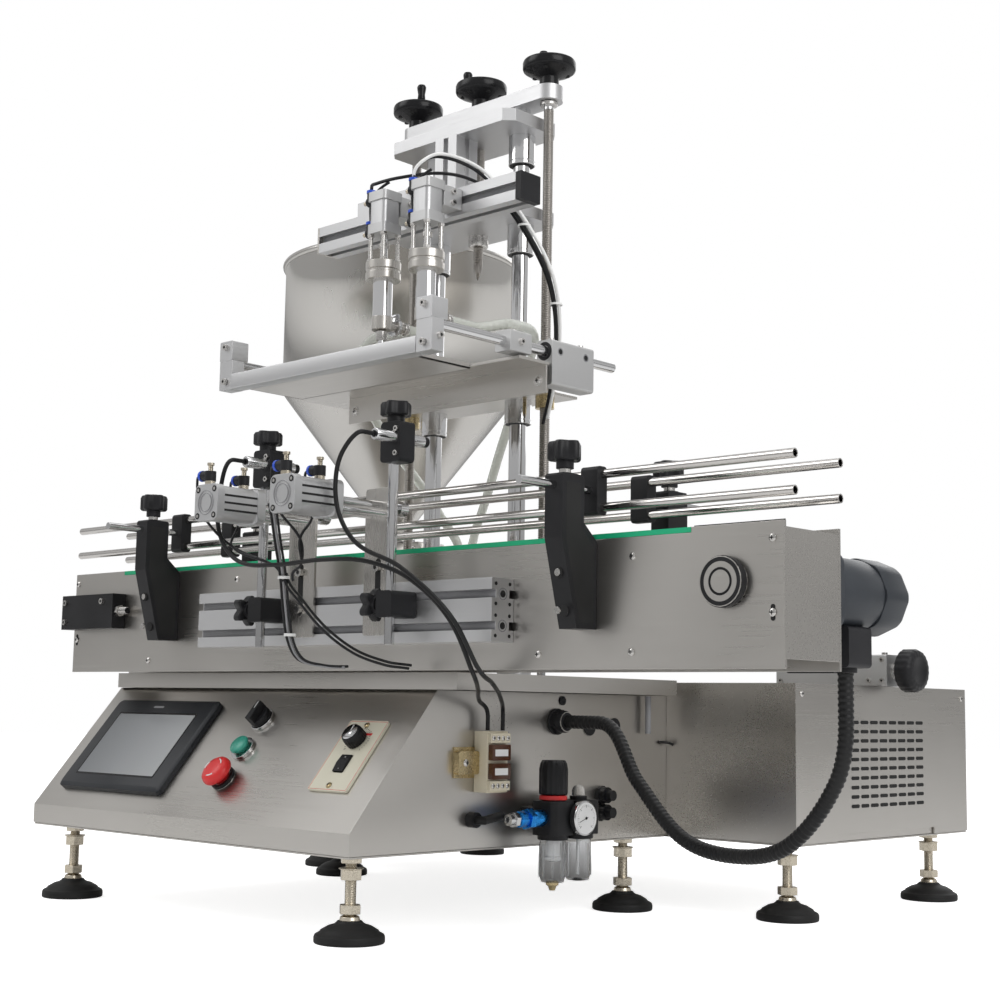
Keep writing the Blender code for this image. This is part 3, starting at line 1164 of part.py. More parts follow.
# ---------------------------------------------------------------- side equipment
def side_equipment():
    x = AIR_UNIT_X
    y = AIR_UNIT_Y
    half = AIR_UNIT_BODY / 2
    low = AIR_UNIT_LOW
    high = low + AIR_UNIT_BODY
    oiler = y + OILER_OFFSET
    middle = low + AIR_UNIT_BODY / 2
    bowl = BOWL_RADIUS
    shapes = [
        box(x - half, x + half, y - half, y + half, low, high),
        box(x - half, x + half, oiler - half, oiler + half, low, high),
        box(x - 0.010, x + 0.010, y, oiler, low + 0.006, high - 0.006),
        box(CABINET_RIGHT + GAP, x - half + 0.002, y - 0.012, oiler + 0.012, middle - 0.010, middle + 0.010),
        rod("Y", (x, middle), 0.009, y - half - 0.052, y - half + 0.001, 16),
        rod("X", (y + half + GAUGE_OFFSET, middle), GAUGE_RADIUS, x + half - 0.001, x + half + 0.009, 24),
        lathe("Z", (x, y), ((0.006, low - 0.058), (bowl - 0.003, low - 0.050), (bowl, low - 0.045), (bowl, low + 0.001)), 20),
        lathe("Z", (x, oiler), ((bowl - 0.004, low - 0.050), (bowl, low - 0.045), (bowl, low + 0.001)), 20),
        rod("Z", (x, oiler), 0.010, high - 0.001, high + 0.016, 16),
        rod("Z", (x, y), 0.012, high - 0.001, high + 0.006, 20),
    ]
    cuts = [rod("Z", (x, y), 0.004 + RUNNING, high - 0.012, high + 0.010, 12)]
    piece("air_unit", BLACK, shapes, cuts)
    cap = high + 0.006 + GAP
    profile = ((0.004, high - 0.010), (0.004, cap), (0.0155, cap), (0.0155, cap + 0.030), (0.013, cap + 0.036), (0, cap + 0.037))
    piece("pressure_knob", BLACK, [lathe("Z", (x, y), profile, 20)], (), (x, y, cap))

    wall = CABINET_RIGHT + GAP
    shapes = [
        box(wall, wall + 0.009, 0.034, 0.066, 0.160, 0.192),
        box(wall, wall + 0.026, 0.064, 0.096, 0.145, 0.209),
    ]
    piece("relay_block", CREAM, shapes)

    left = METERING_LEFT
    right = METERING_RIGHT
    base = REAR_TOP + GAP
    deep = METERING_DEPTH / 2
    slot_low = METERING_Z - 0.003
    shapes = [
        box(left, right, METERING_Y - deep, METERING_Y + deep, base, base + METERING_HEIGHT),
        rod("X", (METERING_Y, METERING_Z), 0.010, right - 0.001, right + 0.005, 16),
    ]
    cuts = [
        rod("X", (METERING_Y, METERING_Z), 0.005 + RUNNING, right - 0.060, right + 0.01, 16),
        box(left + 0.015, right - 0.065, METERING_Y - deep - 0.01, METERING_Y - deep + 0.008, slot_low, slot_low + 0.006),
    ]
    piece("metering_slide", ALUMINIUM, shapes, cuts)
    hub = right + 0.005 + GAP
    radius = METERING_KNOB_RADIUS
    profile = (
        (0.005, right - 0.055),
        (0.005, hub),
        (0.014, hub),
        (radius, hub + 0.006),
        (radius, hub + 0.022),
        (radius - 0.004, hub + 0.027),
        (0, hub + 0.028),
    )
    shapes = [lathe("X", (METERING_Y, METERING_Z), profile, 20)]
    centre = (hub, METERING_Y, METERING_Z)
    piece("metering_knob", BLACK, shapes, (), centre)


# ---------------------------------------------------------------- the machine
for held in list(bpy.data.objects):
    bpy.data.objects.remove(held)

cabinets()
operator_panel()
conveyor()
guide_rails()
stops_and_sensors()
lift()
head_carriage()
dosing_heads()
drip_tray()
hopper()
side_equipment()
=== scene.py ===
import json
from math import cos, pi, radians, sin, tau

import bpy
from mathutils import Matrix, Vector

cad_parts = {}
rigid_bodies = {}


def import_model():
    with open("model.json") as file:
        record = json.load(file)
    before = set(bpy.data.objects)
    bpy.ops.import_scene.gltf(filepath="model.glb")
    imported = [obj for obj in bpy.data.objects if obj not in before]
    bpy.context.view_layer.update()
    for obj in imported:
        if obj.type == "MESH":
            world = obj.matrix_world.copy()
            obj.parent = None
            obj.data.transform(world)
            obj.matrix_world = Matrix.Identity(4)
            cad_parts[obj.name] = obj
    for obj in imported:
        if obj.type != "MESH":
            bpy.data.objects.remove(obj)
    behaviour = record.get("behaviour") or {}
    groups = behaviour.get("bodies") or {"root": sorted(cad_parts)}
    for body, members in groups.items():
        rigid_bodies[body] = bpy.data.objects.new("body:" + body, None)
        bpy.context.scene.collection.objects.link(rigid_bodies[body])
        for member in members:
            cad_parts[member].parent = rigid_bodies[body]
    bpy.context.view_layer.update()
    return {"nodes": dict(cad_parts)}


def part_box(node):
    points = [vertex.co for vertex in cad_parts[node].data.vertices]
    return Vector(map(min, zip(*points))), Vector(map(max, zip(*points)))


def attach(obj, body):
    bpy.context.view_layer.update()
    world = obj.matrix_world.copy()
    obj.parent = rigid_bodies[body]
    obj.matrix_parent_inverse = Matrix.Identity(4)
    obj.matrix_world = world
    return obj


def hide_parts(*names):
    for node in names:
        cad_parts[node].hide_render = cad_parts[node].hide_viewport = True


for held in list(bpy.data.objects):
    bpy.data.objects.remove(held)
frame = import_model()
NODES = frame["nodes"]

# ---------------------------------------------------------------- places, read from the CAD
chain_low, chain_high = (Vector(corner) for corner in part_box("slat_chain"))
ORIGIN = (chain_low + chain_high) / 2
ORIGIN.z = 0.0


def local(node):
    """A CAD node's box as (left, right, front, back, low, high), from the conveyor's middle on the floor."""
    low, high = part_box(node)
    return (low[0] - ORIGIN.x, high[0] - ORIGIN.x, low[1] - ORIGIN.y, high[1] - ORIGIN.y, low[2], high[2])


# ---------------------------------------------------------------- camera
scene = bpy.context.scene
YAW, PITCH, ROLL = radians(43.54), radians(7.27), radians(0.985)
forward = Vector((-sin(YAW) * cos(PITCH), cos(YAW) * cos(PITCH), sin(PITCH)))
level = Vector((cos(YAW), sin(YAW), 0.0))
upward = level.cross(forward)
right = cos(ROLL) * level + sin(ROLL) * upward
upward = right.cross(forward)
camera_data = bpy.data.cameras.new("camera")
camera_data.lens = 58.56
camera_data.sensor_width = 36.0
camera_data.clip_start = 0.05
camera = bpy.data.objects.new("camera", camera_data)
scene.collection.objects.link(camera)
turn = Matrix((right, upward, -forward)).transposed().to_4x4()
camera.matrix_world = Matrix.Translation(Vector((1.2788, -1.1704, 0.2334)) + ORIGIN) @ turn
scene.camera = camera
scene.view_settings.view_transform = "Standard"


# ---------------------------------------------------------------- materials
class Look:
    """A node material put together step by step."""

    def __init__(self, name):
        self.material = bpy.data.materials.new(name)
        self.material.use_nodes = True
        self.tree = self.material.node_tree
        self.shader = self.tree.nodes["Principled BSDF"]

    def add(self, kind, **values):
        node = self.tree.nodes.new(kind)
        for key, value in values.items():
            if hasattr(node, key):
                setattr(node, key, value)
            else:
                node.inputs[key.replace("_", " ").title()].default_value = value
        return node

    def link(self, out, into):
        self.tree.links.new(out, into)

    def noise(self, scale, stretch=(1, 1, 1), detail=3.0, turn=(0, 0, 0)):
        where = self.add("ShaderNodeTexCoord")
        mapping = self.add("ShaderNodeMapping")
        mapping.inputs["Scale"].default_value = stretch
        mapping.inputs["Rotation"].default_value = turn
        self.link(where.outputs["Object"], mapping.inputs["Vector"])
        noise = self.add("ShaderNodeTexNoise")
        noise.inputs["Scale"].default_value = scale
        noise.inputs["Detail"].default_value = detail
        self.link(mapping.outputs["Vector"], noise.inputs["Vector"])
        return noise.outputs["Fac"]

    def spread(self, value, low, high):
        ranged = self.add("ShaderNodeMapRange")
        ranged.inputs["From Min"].default_value = 0.3
        ranged.inputs["From Max"].default_value = 0.7
        ranged.inputs["To Min"].default_value = low
        ranged.inputs["To Max"].default_value = high
        self.link(value, ranged.inputs["Value"])
        return ranged.outputs["Result"]

    def tint(self, value, dark, light):
        mix = self.add("ShaderNodeMix", data_type="RGBA")
        mix.inputs[6].default_value = (*dark, 1)
        mix.inputs[7].default_value = (*light, 1)
        self.link(self.spread(value, 0.0, 1.0), mix.inputs[0])
        self.link(mix.outputs[2], self.shader.inputs["Base Color"])

    def relief(self, value, strength, distance, round_edges=0.0):
        bump = self.add("ShaderNodeBump")
        bump.inputs["Strength"].default_value = strength
        bump.inputs["Distance"].default_value = distance
        self.link(value, bump.inputs["Height"])
        if round_edges:
            bevel = self.add("ShaderNodeBevel", samples=4)
            bevel.inputs["Radius"].default_value = round_edges
            self.link(bevel.outputs["Normal"], bump.inputs["Normal"])
        self.link(bump.outputs["Normal"], self.shader.inputs["Normal"])

    def put(self, **values):
        for key, value in values.items():
            self.shader.inputs[key.replace("_", " ").title().replace("Ior", "IOR")].default_value = value
        return self


def metal(name, dark, light, rough, grain=(1, 1, 1), scale=60.0, depth=0.00001, edges=0.0):
    """Metal with a grain: the stretch is high across the brushing and low along it."""
    look = Look(name)
    look.put(metallic=1.0)
    cloud = look.noise(4.0, detail=2.0)
    fine = look.noise(scale, grain, 1.5)
    look.tint(cloud, dark, light)
    total = look.add("ShaderNodeMath", operation="ADD")
    look.link(look.spread(fine, rough[0], rough[1]), total.inputs[0])
    look.link(look.spread(cloud, -0.03, 0.05), total.inputs[1])
    look.link(total.outputs[0], look.shader.inputs["Roughness"])
    look.relief(fine, 0.06, depth, edges)
    return look.material


def plastic(name, dark, light, rough, scale=900.0, depth=0.00006, edges=0.0, **more):
    """Plastic, rubber or paint: a soft cloud in colour and gloss over a fine moulded grain."""
    look = Look(name)
    cloud = look.noise(14.0, detail=3.0)
    look.tint(cloud, dark, light)
    look.link(look.spread(cloud, rough[0], rough[1]), look.shader.inputs["Roughness"])
    look.relief(look.noise(scale, detail=2.0), 0.25, depth, edges)
    look.put(**more)
    return look.material


# The two colours of the brushed sheet, and a lower shine for the dark plastics.
BRUSHED = ((0.52, 0.50, 0.47), (0.58, 0.56, 0.53))
DULL = {"specular_ior_level": 0.22}
STEEL_X = metal("brushed steel along x", *BRUSHED, (0.27, 0.31), (0.02, 1, 1), 500, 0.000006, 0.0006)
STEEL_Y = metal("brushed steel along y", *BRUSHED, (0.27, 0.31), (1, 0.02, 1), 500, 0.000006, 0.0006)
STEEL_Z = metal("brushed steel upright", *BRUSHED, (0.26, 0.30), (1, 1, 0.02), 500, 0.000006, 0.0006)
HOPPER_STEEL = metal(
    "hopper steel", (0.56, 0.545, 0.52), (0.60, 0.585, 0.56), (0.22, 0.25), (1, 1, 0.3), 60, 0.000002
)
CHROME = metal(
    "ground steel", (0.62, 0.62, 0.625), (0.68, 0.68, 0.685), (0.08, 0.11), (1, 1, 1), 200, 0.000001
)
RAIL_STEEL = metal(
    "rail tube", (0.58, 0.56, 0.54), (0.64, 0.62, 0.60), (0.14, 0.18), (0.05, 1, 1), 300, 0.000002
)
SCREW_STEEL = metal(
    "lead screw", (0.30, 0.28, 0.26), (0.38, 0.36, 0.335), (0.26, 0.34), (1, 1, 1), 300, 0.00001
)
BOLT = metal("bolt steel", (0.50, 0.49, 0.47), (0.68, 0.66, 0.64), (0.18, 0.32), (1, 1, 1), 300)
NICKEL = metal("nickel nut", (0.56, 0.50, 0.40), (0.70, 0.64, 0.53), (0.18, 0.30), (1, 1, 1), 300)
BRASS = metal("brass", (0.50, 0.40, 0.22), (0.60, 0.49, 0.29), (0.22, 0.30), (1, 1, 1), 300)
ALUMINIUM = metal(
    "anodised aluminium", (0.56, 0.56, 0.565), (0.62, 0.62, 0.625), (0.40, 0.46), (0.05, 1, 1), 500,
    0.00001, 0.0004,
)
ALUMINIUM_Z = metal(
    "anodised aluminium upright", (0.57, 0.57, 0.575), (0.63, 0.63, 0.635), (0.40, 0.46), (1, 1, 0.05), 500,
    0.00001, 0.0004,
)
CAST = metal(
    "bead-blasted aluminium", (0.52, 0.52, 0.52), (0.60, 0.60, 0.60), (0.46, 0.54), (1, 1, 1), 1200,
    0.00002, 0.0004,
)
BLACK = plastic(
    "black plastic", (0.010, 0.010, 0.011), (0.020, 0.020, 0.022), (0.32, 0.46), edges=0.0005, **DULL
)
BLACK_GLOSS = plastic(
    "black gloss plastic", (0.008, 0.008, 0.009), (0.014, 0.014, 0.015), (0.18, 0.28), depth=0.00002, **DULL
)
RUBBER = plastic(
    "black rubber", (0.012, 0.012, 0.012), (0.026, 0.026, 0.026), (0.45, 0.62), 500, 0.0001, **DULL
)
CABLE = plastic("cable jacket", (0.010, 0.010, 0.011), (0.020, 0.020, 0.020), (0.34, 0.46), 1200, **DULL)
SLATE = plastic(
    "slate paint", (0.030, 0.034, 0.040), (0.045, 0.050, 0.058), (0.34, 0.46), 700, 0.00012, edges=0.0006,
    **DULL,
)
MOTOR_BLACK = plastic("motor cover", (0.012, 0.012, 0.014), (0.022, 0.022, 0.025), (0.36, 0.5), **DULL)
GREEN = plastic("emerald plastic", (0.0, 0.36, 0.16), (0.01, 0.46, 0.22), (0.36, 0.5))
TEAL = plastic("green button", (0.03, 0.30, 0.22), (0.05, 0.38, 0.28), (0.25, 0.36))
RED = plastic("red button", (0.62, 0.015, 0.018), (0.74, 0.03, 0.03), (0.26, 0.4))
BLUE = plastic("blue plastic", (0.01, 0.05, 0.45), (0.02, 0.09, 0.60), (0.25, 0.35))
AZURE = metal("blue anodised", (0.02, 0.20, 0.62), (0.04, 0.32, 0.78), (0.22, 0.32), (1, 1, 1), 300)
CREAM = plastic("cream plastic", (0.66, 0.60, 0.46), (0.74, 0.68, 0.54), (0.4, 0.52))
PLATE = plastic("cream plate", (0.66, 0.63, 0.50), (0.72, 0.69, 0.57), (0.38, 0.5))
BROWN = plastic(
    "brown clear cover", (0.10, 0.035, 0.015), (0.16, 0.06, 0.03), (0.12, 0.2), transmission_weight=0.35
)
WHITE = plastic("white plastic", (0.76, 0.76, 0.75), (0.84, 0.84, 0.83), (0.35, 0.5))
# Painted shade: a near-black flat patch laid over holes, sockets, slots and grooves to stand in for the shade
# inside them.
PAINTED_HOLE_SHADE = plastic("painted hole shade", (0.004, 0.004, 0.004), (0.008, 0.008, 0.008), (0.7, 0.9))
BEZEL = plastic(
    "screen bezel", (0.022, 0.024, 0.028), (0.034, 0.036, 0.040), (0.34, 0.44), edges=0.0006, **DULL
)
DIAL = plastic("dial face", (0.78, 0.78, 0.78), (0.84, 0.84, 0.84), (0.4, 0.5))
GREY = plastic("grey band", (0.20, 0.20, 0.21), (0.28, 0.28, 0.29), (0.4, 0.5))
CLEAR = plastic(
    "clear bowl", (0.95, 0.96, 0.97), (0.98, 0.98, 0.99), (0.02, 0.04), transmission_weight=0.97, ior=1.16
)
HOSE = plastic(
    "translucent hose", (0.78, 0.80, 0.74), (0.86, 0.88, 0.82), (0.14, 0.24), transmission_weight=0.45
)


def screen_look():
    """A pale screen with a soft gradient across it."""
    look = Look("screen glass")
    place = look.add("ShaderNodeTexCoord")
    split = look.add("ShaderNodeSeparateXYZ")
    look.link(place.outputs["Generated"], split.inputs[0])
    mix = look.add("ShaderNodeMix", data_type="RGBA")
    mix.inputs[6].default_value = (0.16, 0.17, 0.18, 1)
    mix.inputs[7].default_value = (0.42, 0.43, 0.44, 1)
    look.link(split.outputs["X"], mix.inputs[0])
    look.link(mix.outputs[2], look.shader.inputs["Base Color"])
    look.relief(look.noise(30.0), 0.05, 0.00002)
    look.link(look.spread(look.noise(8.0), 0.10, 0.18), look.shader.inputs["Roughness"])
    return look.material


SCREEN = screen_look()


# ---------------------------------------------------------------- shapes
# Where an outline's two coordinates and the distance along the axis go, for each axis.
AXES = {"X": (1, 2, 0), "Y": (0, 2, 1), "Z": (0, 1, 2)}


def along(axis, first, second, distance):
    """The point at an outline's two coordinates and a distance along the axis."""
    point = [0.0, 0.0, 0.0]
    a, b, c = AXES[axis]
    point[a], point[b], point[c] = first, second, distance
    return Vector(point)


def rounded(left, right, low, high, radius, steps=5):
    """A rectangle's outline with rounded corners."""
    points = []
    for a, b, start in (
        (right - radius, high - radius, 0.0), (left + radius, high - radius, pi / 2),
        (left + radius, low + radius, pi), (right - radius, low + radius, 1.5 * pi),
    ):
        for i in range(steps + 1):
            angle = start + pi / 2 * i / steps
            points.append((a + radius * cos(angle), b + radius * sin(angle)))
    return points


class Piece:
    """Shapes gathered into one mesh, each with its own material."""

    def __init__(self):
        self.points = []
        self.faces = []
        self.looks = []
        self.indices = []
        self.matrix = Matrix.Identity(4)

    def loft(self, rings, look, closed=False, caps=True):
        """A skin through rings of points, where one point is a tip; closed joins the last ring to the first."""
        first = len(self.points)
        starts = []
        for ring in rings:
            starts.append(len(self.points))
            self.points.extend(self.matrix @ Vector(point) for point in ring)
        made = []
        pairs = list(zip(range(len(rings)), range(1, len(rings))))
        if closed:
            pairs.append((len(rings) - 1, 0))
        for low, high in pairs:
            a, b = starts[low], starts[high]
            na, nb = len(rings[low]), len(rings[high])
            for i in range(max(na, nb)):
                j = (i + 1) % max(na, nb)
                if na == 1:
                    made.append((a, b + j, b + i))
                elif nb == 1:
                    made.append((a + i, a + j, b))
                else:
                    made.append((a + i, a + j, b + j, b + i))
        if caps and not closed:
            if len(rings[0]) > 2:
                made.append(tuple(range(starts[0] + len(rings[0]) - 1, starts[0] - 1, -1)))
            if len(rings[-1]) > 2:
                made.append(tuple(range(starts[-1], starts[-1] + len(rings[-1]))))
        # Faces that look inwards are turned, by the sign of the volume they hold.
        middle = self.points[first]
        volume = 0.0
        for face in made:
            a = self.points[face[0]] - middle
            for p, q in zip(face[1:], face[2:]):
                volume += a.dot((self.points[p] - middle).cross(self.points[q] - middle))
        if volume < 0:
            made = [tuple(reversed(face)) for face in made]
        if look not in self.looks:
            self.looks.append(look)
        self.faces.extend(made)
        self.indices.extend([self.looks.index(look)] * len(made))
        return self

    def prism(self, axis, outline, start, end, look):
        """An outline pulled along an axis."""
        return self.loft([[along(axis, a, b, at) for a, b in outline] for at in (start, end)], look)

    def box(self, left, right, front, back, low, high, look):
        outline = ((left, front), (right, front), (right, back), (left, back))
        return self.prism("Z", outline, low, high, look)

    def lathe(self, axis, centre, profile, look, sides=48, closed=False, base=0.0):
        """A profile of (radius, height over base) pairs turned about an axis."""
        rings = []
        angles = [tau * i / sides for i in range(sides)]
        for radius, at in profile:
            if radius == 0:
                rings.append([along(axis, centre[0], centre[1], base + at)])
            else:
                around = [(centre[0] + radius * cos(t), centre[1] + radius * sin(t)) for t in angles]
                rings.append([along(axis, a, b, base + at) for a, b in around])
        return self.loft(rings, look, closed)

    def rod(self, axis, centre, radius, start, end, look, sides=40):
        return self.lathe(axis, centre, ((radius, start), (radius, end)), look, sides)

    def pipe(self, axis, centre, radius, bore, start, end, look, sides=40):
        profile = ((radius, start), (radius, end), (bore, end), (bore, start))
        return self.lathe(axis, centre, profile, look, sides, True)

    def thread(self, axis, centre, radius, start, end, pitch, look, sides=20):
        """A threaded rod as rings of ridges, two to a pitch."""
        steps = max(int(abs(end - start) / pitch * 2), 2)
        profile = []
        for i in range(steps + 1):
            at = start + (end - start) * i / steps
            profile.append((radius if i % 2 else radius * 0.88, at))
        return self.lathe(axis, centre, profile, look, sides)

    def fluted(self, axis, centre, radius, profile, look, flute, depth, sides=96, least=0.0):
        """A knob cut by flutes wherever its profile's share of the radius is over least."""
        rings = []
        for share, at in profile:
            ring = []
            for i in range(sides):
                wave = 1 - depth * (share > least and i % flute < flute / 2)
                reach = radius * share * wave
                a, b = reach * cos(tau * i / sides), reach * sin(tau * i / sides)
                ring.append(along(axis, centre[0] + a, centre[1] + b, at))
            rings.append(ring if share else ring[:1])
        return self.loft(rings, look)

    def hexagon(self, axis, centre, radius, start, end, look, turned=0.3):
        angles = [tau * i / 6 + turned for i in range(6)]
        outline = [(centre[0] + radius * cos(t), centre[1] + radius * sin(t)) for t in angles]
        return self.prism(axis, outline, start, end, look)

    def socket_screw(self, axis, centre, radius, face, out, look=BOLT):
        """A cap screw whose head stands on a face; out is +1 or -1 along the axis."""
        top = face + out * radius * 0.9
        self.rod(axis, centre, radius, face, top, look, 24)
        # The hex socket is a thin patch of painted shade, not a recess.
        return self.hexagon(axis, centre, radius * 0.5, top - out * 0.0002, top + out * 0.0002, PAINTED_HOLE_SHADE)

    def pan_screw(self, axis, centre, radius, face, out, look=BOLT):
        profile = (
            (radius, face), (radius, face + out * radius * 0.25), (radius * 0.7, face + out * radius * 0.5),
            (0, face + out * radius * 0.58),
        )
        self.lathe(axis, centre, profile, look, 20)
        # The cross recess is two thin patches of painted shade.
        for wide, tall in ((radius * 0.55, radius * 0.12), (radius * 0.12, radius * 0.55)):
            cross = rounded(
                centre[0] - wide, centre[0] + wide, centre[1] - tall, centre[1] + tall, radius * 0.1, 1
            )
            self.prism(axis, cross, face + out * radius * 0.5, face + out * radius * 0.62, PAINTED_HOLE_SHADE)
        return self

    def tube(self, points, radius, look, sides=12, ripple=0.0, every=1):
        """A round tube along points, with ripples where asked."""
        points = [Vector(p) for p in points]
        rings = []
        normal = None
        for i, point in enumerate(points):
            ahead = (points[min(i + 1, len(points) - 1)] - points[max(i - 1, 0)]).normalized()
            if normal is None:
                normal = ahead.orthogonal().normalized()
            normal = (normal - ahead * normal.dot(ahead)).normalized()
            other = ahead.cross(normal)
            size = radius * (1 - ripple * (i // every % 2))
            angles = [tau * k / sides for k in range(sides)]
            rings.append([point + size * (normal * cos(t) + other * sin(t)) for t in angles])
        return self.loft(rings, look)

    def done(self, name, body, replaces=(), slot=None, bevel=0.0004, segments=2):
        mesh = bpy.data.meshes.new(name)
        mesh.from_pydata([tuple(p) for p in self.points], [], self.faces)
        mesh.polygons.foreach_set("use_smooth", [True] * len(mesh.polygons))
        mesh.polygons.foreach_set("material_index", self.indices)
        for look in self.looks:
            mesh.materials.append(look)
        mesh.update()
        made = bpy.data.objects.new(name.replace(" ", "-"), mesh)
        made.location = ORIGIN
        scene.collection.objects.link(made)
        if bevel:
            edge = made.modifiers.new("edges", "BEVEL")
            edge.width = bevel
            edge.segments = segments
            edge.limit_method = "ANGLE"
            edge.angle_limit = radians(38)
            edge.harden_normals = True
        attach(made, body)
        if replaces:
            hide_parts(*replaces)
        return made


def paint(node, look):
    """A CAD node that keeps its shape takes a finish."""
    held = NODES[node]
    held.data.materials.clear()
    held.data.materials.append(look)
    weld = held.modifiers.new("weld", "WELD")
    weld.merge_threshold = 0.00001
    held.data.polygons.foreach_set("use_smooth", [True] * len(held.data.polygons))
    split = held.modifiers.new("split", "EDGE_SPLIT")
    split.split_angle = radians(32)
    return held


# ---------------------------------------------------------------- places that several pieces share
# The console's right side, and the plane just clear of it that the side equipment sits on.
CONSOLE_SIDE, MOUNTING_FACE = 0.0735, 0.0738
RAIL_MIDDLE = 0.432
BRACKETS = (-0.320, 0.320)
CLAMP_OUT = 0.077
HEADS = (-0.016, 0.052)
INLET_FRONT, INLET_Z = 0.0365, 0.647
METERING_Y = 0.600
LIFT_X, LIFT_Y = -0.067, 0.200
COLUMNS = (LIFT_X - 0.070, LIFT_X + 0.070)
OUTER_SCREWS = (LIFT_X - 0.112, LIFT_X + 0.112)
TRAY_SHAFTS = (-0.158, 0.157)
TRAY_SHAFT_Z = 0.6055


# ---------------------------------------------------------------- cords, on the CAD's own routes
def route(stops, leaves, arrives, lead, spacing):
    """Evenly spaced points on a smooth curve through the stops, straight for a lead at each end."""
    leaves, arrives = Vector(leaves), Vector(arrives)
    inner = [Vector(stop) for stop in stops]
    marks = [inner[0], inner[0] + lead * leaves, *inner[1:-1], inner[-1] - lead * arrives, inner[-1]]
    turns = [(c - a).normalized() for a, c in zip(marks, marks[2:])]
    turns = [leaves, leaves, *turns[1:-1], arrives, arrives]
    dense = [marks[0]]
    for i in range(len(marks) - 1):
        start, end = marks[i], marks[i + 1]
        reach = (end - start).length
        for k in range(1, 25):
            t = k / 24
            bend = (2 * t**3 - 3 * t**2 + 1) * start + (3 * t**2 - 2 * t**3) * end
            dense.append(bend + reach * ((t**3 - 2 * t**2 + t) * turns[i] + (t**3 - t**2) * turns[i + 1]))
    length = sum((q - p).length for p, q in zip(dense, dense[1:]))
    count = round(length / spacing)
    points = [dense[0]]
    walked = 0.0
    for p, q in zip(dense, dense[1:]):
        step = (q - p).length
        while len(points) < count and walked + step >= length * len(points) / count:
            points.append(p.lerp(q, (length * len(points) / count - walked) / step))
        walked += step
    points.append(dense[-1])
    return points


def hang(
    name, node, look, diameter, stops, leaves, arrives, ripple=0.0, spacing=None, body="machine"
):
    points = route(stops, leaves, arrives, 3 * diameter, spacing or diameter * 0.5)
    made = Piece().tube(points, diameter / 2, look, 16, ripple, 2)
    made = made.done(name, body, [node], NODES[node].get("slot"), bevel=0)
    return points


SHAFT_X = (local("drive_roller")[0] + local("drive_roller")[1]) / 2
SHAFT_Z = (local("drive_roller")[4] + local("drive_roller")[5]) / 2
SIDE = local("front_cabinet")
CONDUIT = (
    (SHAFT_X + 0.010, 0.128, 0.2697), (0.470, 0.131, 0.170), (0.415, 0.139, 0.111), (0.351, 0.1495, 0.095),
    (0.275, 0.161, 0.106), (0.205, 0.176, 0.158), (0.0905, 0.194, 0.219),
)
hang(
    "corrugated conduit", "motor_conduit", CABLE, 0.015, CONDUIT, (0, 0, -1), (-1, 0, 0), 0.10,
    0.0014,
)
CABLE_1 = (
    (-0.074, -0.1355, 0.484), (-0.084, -0.158, 0.450), (-0.090, -0.152, 0.408), (-0.060, -0.150, 0.378),
    (0.000, -0.150, 0.371), (0.070, -0.147, 0.373), (0.120, -0.136, 0.370), (0.165, -0.122, 0.353),
    (0.203, -0.106, 0.316), (0.200, -0.070, 0.268), (0.155, -0.015, 0.252), (0.104, 0.040, 0.240),
    (0.086, 0.072, 0.2095),
)
CABLE_2 = (
    (0.126, -0.1355, 0.493), (0.110, -0.160, 0.474), (0.0985, -0.158, 0.444), (0.101, -0.153, 0.412),
    (0.120, -0.146, 0.385), (0.167, -0.134, 0.362), (0.212, -0.113, 0.318), (0.210, -0.072, 0.270),
    (0.168, -0.008, 0.257), (0.116, 0.060, 0.2415), (0.0935, 0.087, 0.2095),
)
hang("sensor cable 1", "sensor_cable_1", CABLE, 0.0045, CABLE_1, (0, -1, 0), (0, 0, -1))
hang("sensor cable 2", "sensor_cable_2", CABLE, 0.0045, CABLE_2, (0, -1, 0), (0, 0, -1))
HOSE_1 = (
    (-0.373, 0.428, 0.445), (-0.262, 0.330, 0.492), (-0.240, 0.200, 0.588), (-0.205, 0.132, 0.645),
    (-0.150, 0.104, 0.666), (-0.085, 0.088, 0.664), (HEADS[0], INLET_FRONT, INLET_Z),
)
HOSE_2 = (
    (-0.373, 0.452, 0.445), (-0.280, 0.425, 0.482), (-0.160, 0.345, 0.570), (-0.055, 0.275, 0.645),
    (0.026, 0.200, 0.664), (0.066, 0.115, 0.656), (HEADS[1], INLET_FRONT, INLET_Z),
)
hang("product hose 1", "product_hose_1", HOSE, 0.012, HOSE_1, (1, 0, 0), (0, -1, 0), 0.06, 0.0018)
hang("product hose 2", "product_hose_2", HOSE, 0.012, HOSE_2, (1, 0, 0), (0, -1, 0), 0.06, 0.0018)


